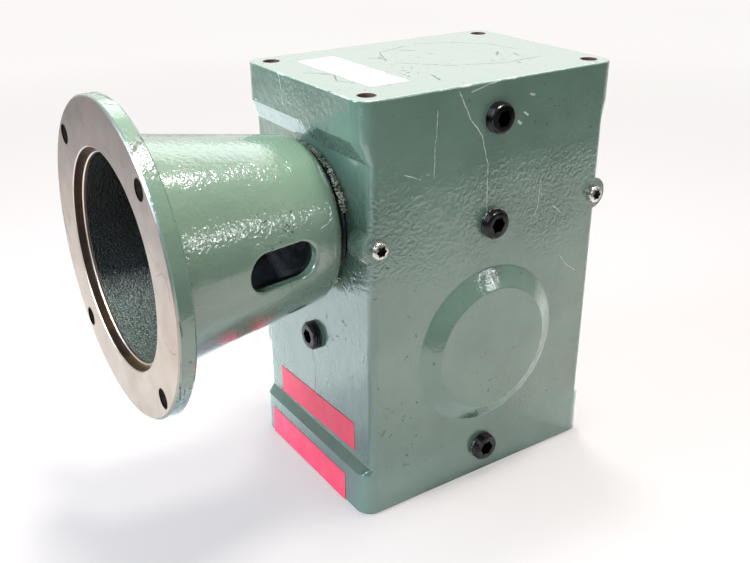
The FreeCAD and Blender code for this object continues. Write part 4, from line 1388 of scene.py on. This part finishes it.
def inner_finishes() -> dict[str, Any]:
    """The finishes of the nodes that keep their shape, by a part of the node's name."""
    return {
        # Dark, with a dull oily sheen.
        "cover_screws": BareMetal("black_oxide_bolt", "3a3936", "2a2826", 0.42, 0.15, 0.9, 0.012),
        # The same wet gloss as the housing.
        "output_cover": CastEnamel("cover_enamel"),
        # The same gloss, with darker patches.
        "end_closure": CastEnamel("closure_enamel", deep="3f5750"),
        # Matt and brown-black, with no glints.
        "gasket": DullCoat("gasket_fibre", "3b3530", "2c2825", 0.8, 0.7, 0.03),
        # Soft black that smears its highlights.
        "oil_seal": DullCoat("nitrile_rubber", "1a1a1a", "242322", 0.5, 0.8, 0.01),
        # The same, a shade deeper.
        "closure_ring": DullCoat("ring_rubber", "171717", "20201f", 0.5, 0.8, 0.01),
        # Cold-drawn: a plain grey sheen.
        "wheel_key": BareMetal("key_steel", "8d8a85", "79756f", 0.35),
        # Grey and grainy, with broad dull highlights.
        "wheel_hub": BareMetal("cast_iron_hub", "6c6a67", "55524f", 0.55, 0.15, 1.6, 0.03),
        # Machined: warm gold with a clean sheen.
        "worm_wheel": BareMetal("gear_bronze", "b98a4a", "9d7039", 0.32, 0.12, 1.0, 0.006),
        # Warm grey, a little dull.
        "_cage": BareMetal("pressed_sheet", "9a958c", "847f77", 0.35),
        # Ground: near mirror, with thin sharp glints.
        "_rollers": BareMetal("roller_steel", "b9bbbd", "a7a9ab", 0.16, 0.05, 0.7, 0.002),
        # Ground: bright and cool, a little softer than the rollers.
        "_cup": BareMetal("race_steel", "b0b2b4", "9b9d9f", 0.22, 0.06, 0.7, 0.003),
        # Ground, as the race.
        "_cone": BareMetal("cone_steel", "b0b2b4", "9b9d9f", 0.22, 0.06, 0.7, 0.003),
        # Bright and cool, with long highlights.
        "shaft": BareMetal("ground_shaft_steel", "a9aaab", "8f9091", 0.24, 0.08, 0.6, 0.004),
        # Plain grey, with a soft sheen.
        "spacer_sleeve": BareMetal("turned_steel", "9a9b9c", "858687", 0.3),
        # Plain grey, with a soft sheen.
        "wheel_pins": BareMetal("pin_steel", "9a9b9c", "858687", 0.3),
    }


def housing_scratches() -> tuple[Scratch, ...]:
    """The pale scratches: on the closed front face, and on the upper band of the end face."""
    front, end = FRONT_MM, BAND_MM
    return (
        Scratch(((-26.4, front, 243.7), (-19.2, front, 229.2), (-10.7, front, 218.7),
                 (-5.5, front, 201.4), (-5.1, front, 181.4), (-4.4, front, 165.0)), 0.55),
        Scratch(((-40.1, front, 236.4), (-40.5, front, 226.2), (-41.4, front, 213.2),
                 (-41.7, front, 200.9)), 0.35),
        Scratch(((-18.6, front, 242.6), (-6.8, front, 245.2), (-2.1, front, 245.6)), 0.6),
        Scratch(((18.5, front, 226.5), (21.0, front, 224.8)), 1.0),
        Scratch(((14.4, front, 222.2), (16.2, front, 221.0)), 1.3),
        Scratch(((22.4, front, 236.0), (25.0, front, 235.4)), 1.0),
        Scratch(((33.9, front, 185.0), (33.2, front, 170.5), (31.0, front, 164.0)), 0.4),
        Scratch(((45.0, front, 168.0), (52.0, front, 161.8)), 0.5),
        Scratch(((54.0, front, 134.0), (61.0, front, 126.0), (68.0, front, 121.0)), 0.4),
        Scratch(((78.0, front, 110.0), (83.0, front, 103.0)), 0.5),
        Scratch(((-60.1, front, 206.0), (-55.0, front, 203.5), (-50.7, front, 201.6)), 0.5),
        Scratch(((end, 21.1, 246.0), (end, 18.4, 237.4), (end, 16.9, 227.0)), 0.5),
        Scratch(((-86.2, 50.0, 226.0), (-84.0, 34.0, 223.0), (-82.5, 18.0, 219.0)), 1.1),
        Scratch(((-85.6, 42.0, 225.0), (-83.0, 22.0, 220.5), (-81.6, 6.0, 215.5)), 0.9),
        Scratch(((-86.3, 30.0, 226.5), (-84.6, 14.0, 224.0)), 0.7),
    )


def housing_scrapes() -> tuple[Scratch, ...]:
    """The dark scrapes on the milled top, and the parting line of the mould on the end face."""
    top, end = TOP_MM, RECESS_MM
    return (
        Scratch(((-25.0, 24.2, top), (-21.0, 20.0, top), (-20.0, 15.0, top)), 1.3),
        Scratch(((2.5, 33.4, top), (9.0, 27.0, top)), 1.1),
        Scratch(((-26.0, -43.4, top), (-22.0, -31.0, top)), 1.2),
        Scratch(((40.1, -11.1, top), (46.7, -4.0, top)), 1.5),
        Scratch(((49.6, -19.2, top), (52.0, -12.0, top)), 1.2),
        Scratch(((-76.0, 12.0, top), (-64.0, 0.0, top), (-71.0, -14.0, top), (-66.0, -24.0, top)), 0.9),
        Scratch(((-70.0, 6.0, top), (-60.0, -16.0, top)), 0.8),
        Scratch(((-20.0, 5.0, top), (0.0, -18.0, top), (30.0, -30.0, top), (58.0, -28.0, top)), 0.8),
        Scratch(((10.0, 41.0, top), (-12.0, 34.0, top), (-22.0, 12.0, top)), 0.8),
        Scratch(((20.0, 44.0, top), (42.0, 36.0, top), (58.0, 18.0, top), (62.0, -4.0, top)), 0.7),
        Scratch(((end, 9.6, 103.0), (end, 8.7, 96.8), (end, 0.9, 69.5), (end, 3.3, 50.6)), 0.5),
    )


def bell_scratches() -> tuple[Scratch, ...]:
    """The pale scratches on the upper near side of the bell's tube."""
    return (
        Scratch(((-102.0, -47.0, 182.0), (-98.0, -46.4, 183.0), (-94.0, -45.0, 185.0)), 0.45),
        Scratch(((-96.0, -42.0, 193.0), (-92.0, -40.6, 191.0), (-88.0, -39.0, 190.5)), 0.45),
        Scratch(((-99.0, -46.5, 177.5), (-93.5, -44.5, 180.5), (-90.5, -42.5, 187.0)), 0.35),
        Scratch(((-121.0, -46.0, 196.0), (-117.0, -45.0, 197.0)), 0.6),
    )


def bell_scrapes_and_nick_shadow() -> tuple[Scratch, ...]:
    """The nick across the flange's rim, painted as the dark shadow in its dent, and small chips along its
    edge.
    """
    return (
        # The nick: dark marks painted as the shadow in its dent.
        Scratch(((-195.0, -47.2, 237.6), (-191.0, -44.2, 239.5), (-187.4, -41.4, 241.3)), 2.6),
        Scratch(((-193.6, -43.4, 240.1), (-188.0, -39.4, 242.4)), 0.8),
        Scratch(((-193.0, -12.0, 251.5), (-188.0, -15.5, 250.9)), 0.7),
        Scratch(((-190.6, 4.5, 252.3), (-189.0, -1.3, 252.4), (-188.0, -9.0, 251.9)), 0.9),
        Scratch(((-194.6, -82.5, 171.0), (-194.0, -82.5, 164.0)), 0.8),
        Scratch(((-194.4, -75.0, 136.0), (-192.8, -68.3, 123.6)), 0.8),
        Scratch(((-191.5, -72.7, 130.7), (-190.6, -66.0, 121.0), (-191.0, -58.0, 111.5)), 0.6),
        Scratch(((-194.8, -79.0, 148.0), (-193.6, -77.5, 142.5)), 0.7),
    )


def main() -> None:
    """Builds every sub-assembly in order."""
    logging.basicConfig(level=logging.INFO, format="%(name)s: %(message)s")
    Studio(PaleTable()).build()
    GearHousing(HousingEnamel("housing_enamel", pale_marks=housing_scratches(),
                              dark_marks=housing_scrapes())).build()
    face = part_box("motor_adapter")[0].x
    register_depth = 4.2 * MM
    # The sealant is near black with soft wet lights. The crust on it is pale old paint, whose broken
    # flakes catch small glints.
    MotorAdapter(
        BellEnamel("bell_enamel", colour="667e6c", deep="58705f", face=face, mouth=face + register_depth,
                   pale_marks=bell_scratches(), dark_marks=bell_scrapes_and_nick_shadow()),
        DullCoat("cured_sealant", "0d110f", "1e2622", 0.45, 1.4, 0.12),
        DullCoat("flaked_crust", "e2e5d0", "8b9786", 0.3, 0.5, 0.05),
    ).build()
    # Black oxide gives the plugs a dark, tight gloss. The tape is satin white with grey creases.
    PipePlugs(BareMetal("black_oxide_plug", "434345", "1f1f20", 0.22, 0.12, 0.9, 0.015),
              DullCoat("thread_tape", "dcdcd6", "8f948f", 0.5, 0.5, 0.03)).build()
    # Bright zinc is pale and nearly mirrors, with small hard glints.
    LockScrews(BareMetal("bright_zinc", "dcdad6", "b9b5ae", 0.26, 0.12, 0.7, 0.008)).build()
    # The film is smooth and even with a soft sheen, and the paper is matt.
    Labels(
        DullCoat("label_film", "ff4f6e", "ff5b76", 0.5, 0.9, 0.006),
        DullCoat("sticker_paper", "dddcd6", "c6c6bd", 0.75, 0.6, 0.02),
    ).build()
    InnerParts(inner_finishes()).build()


if __name__ == "__main__":
    main()
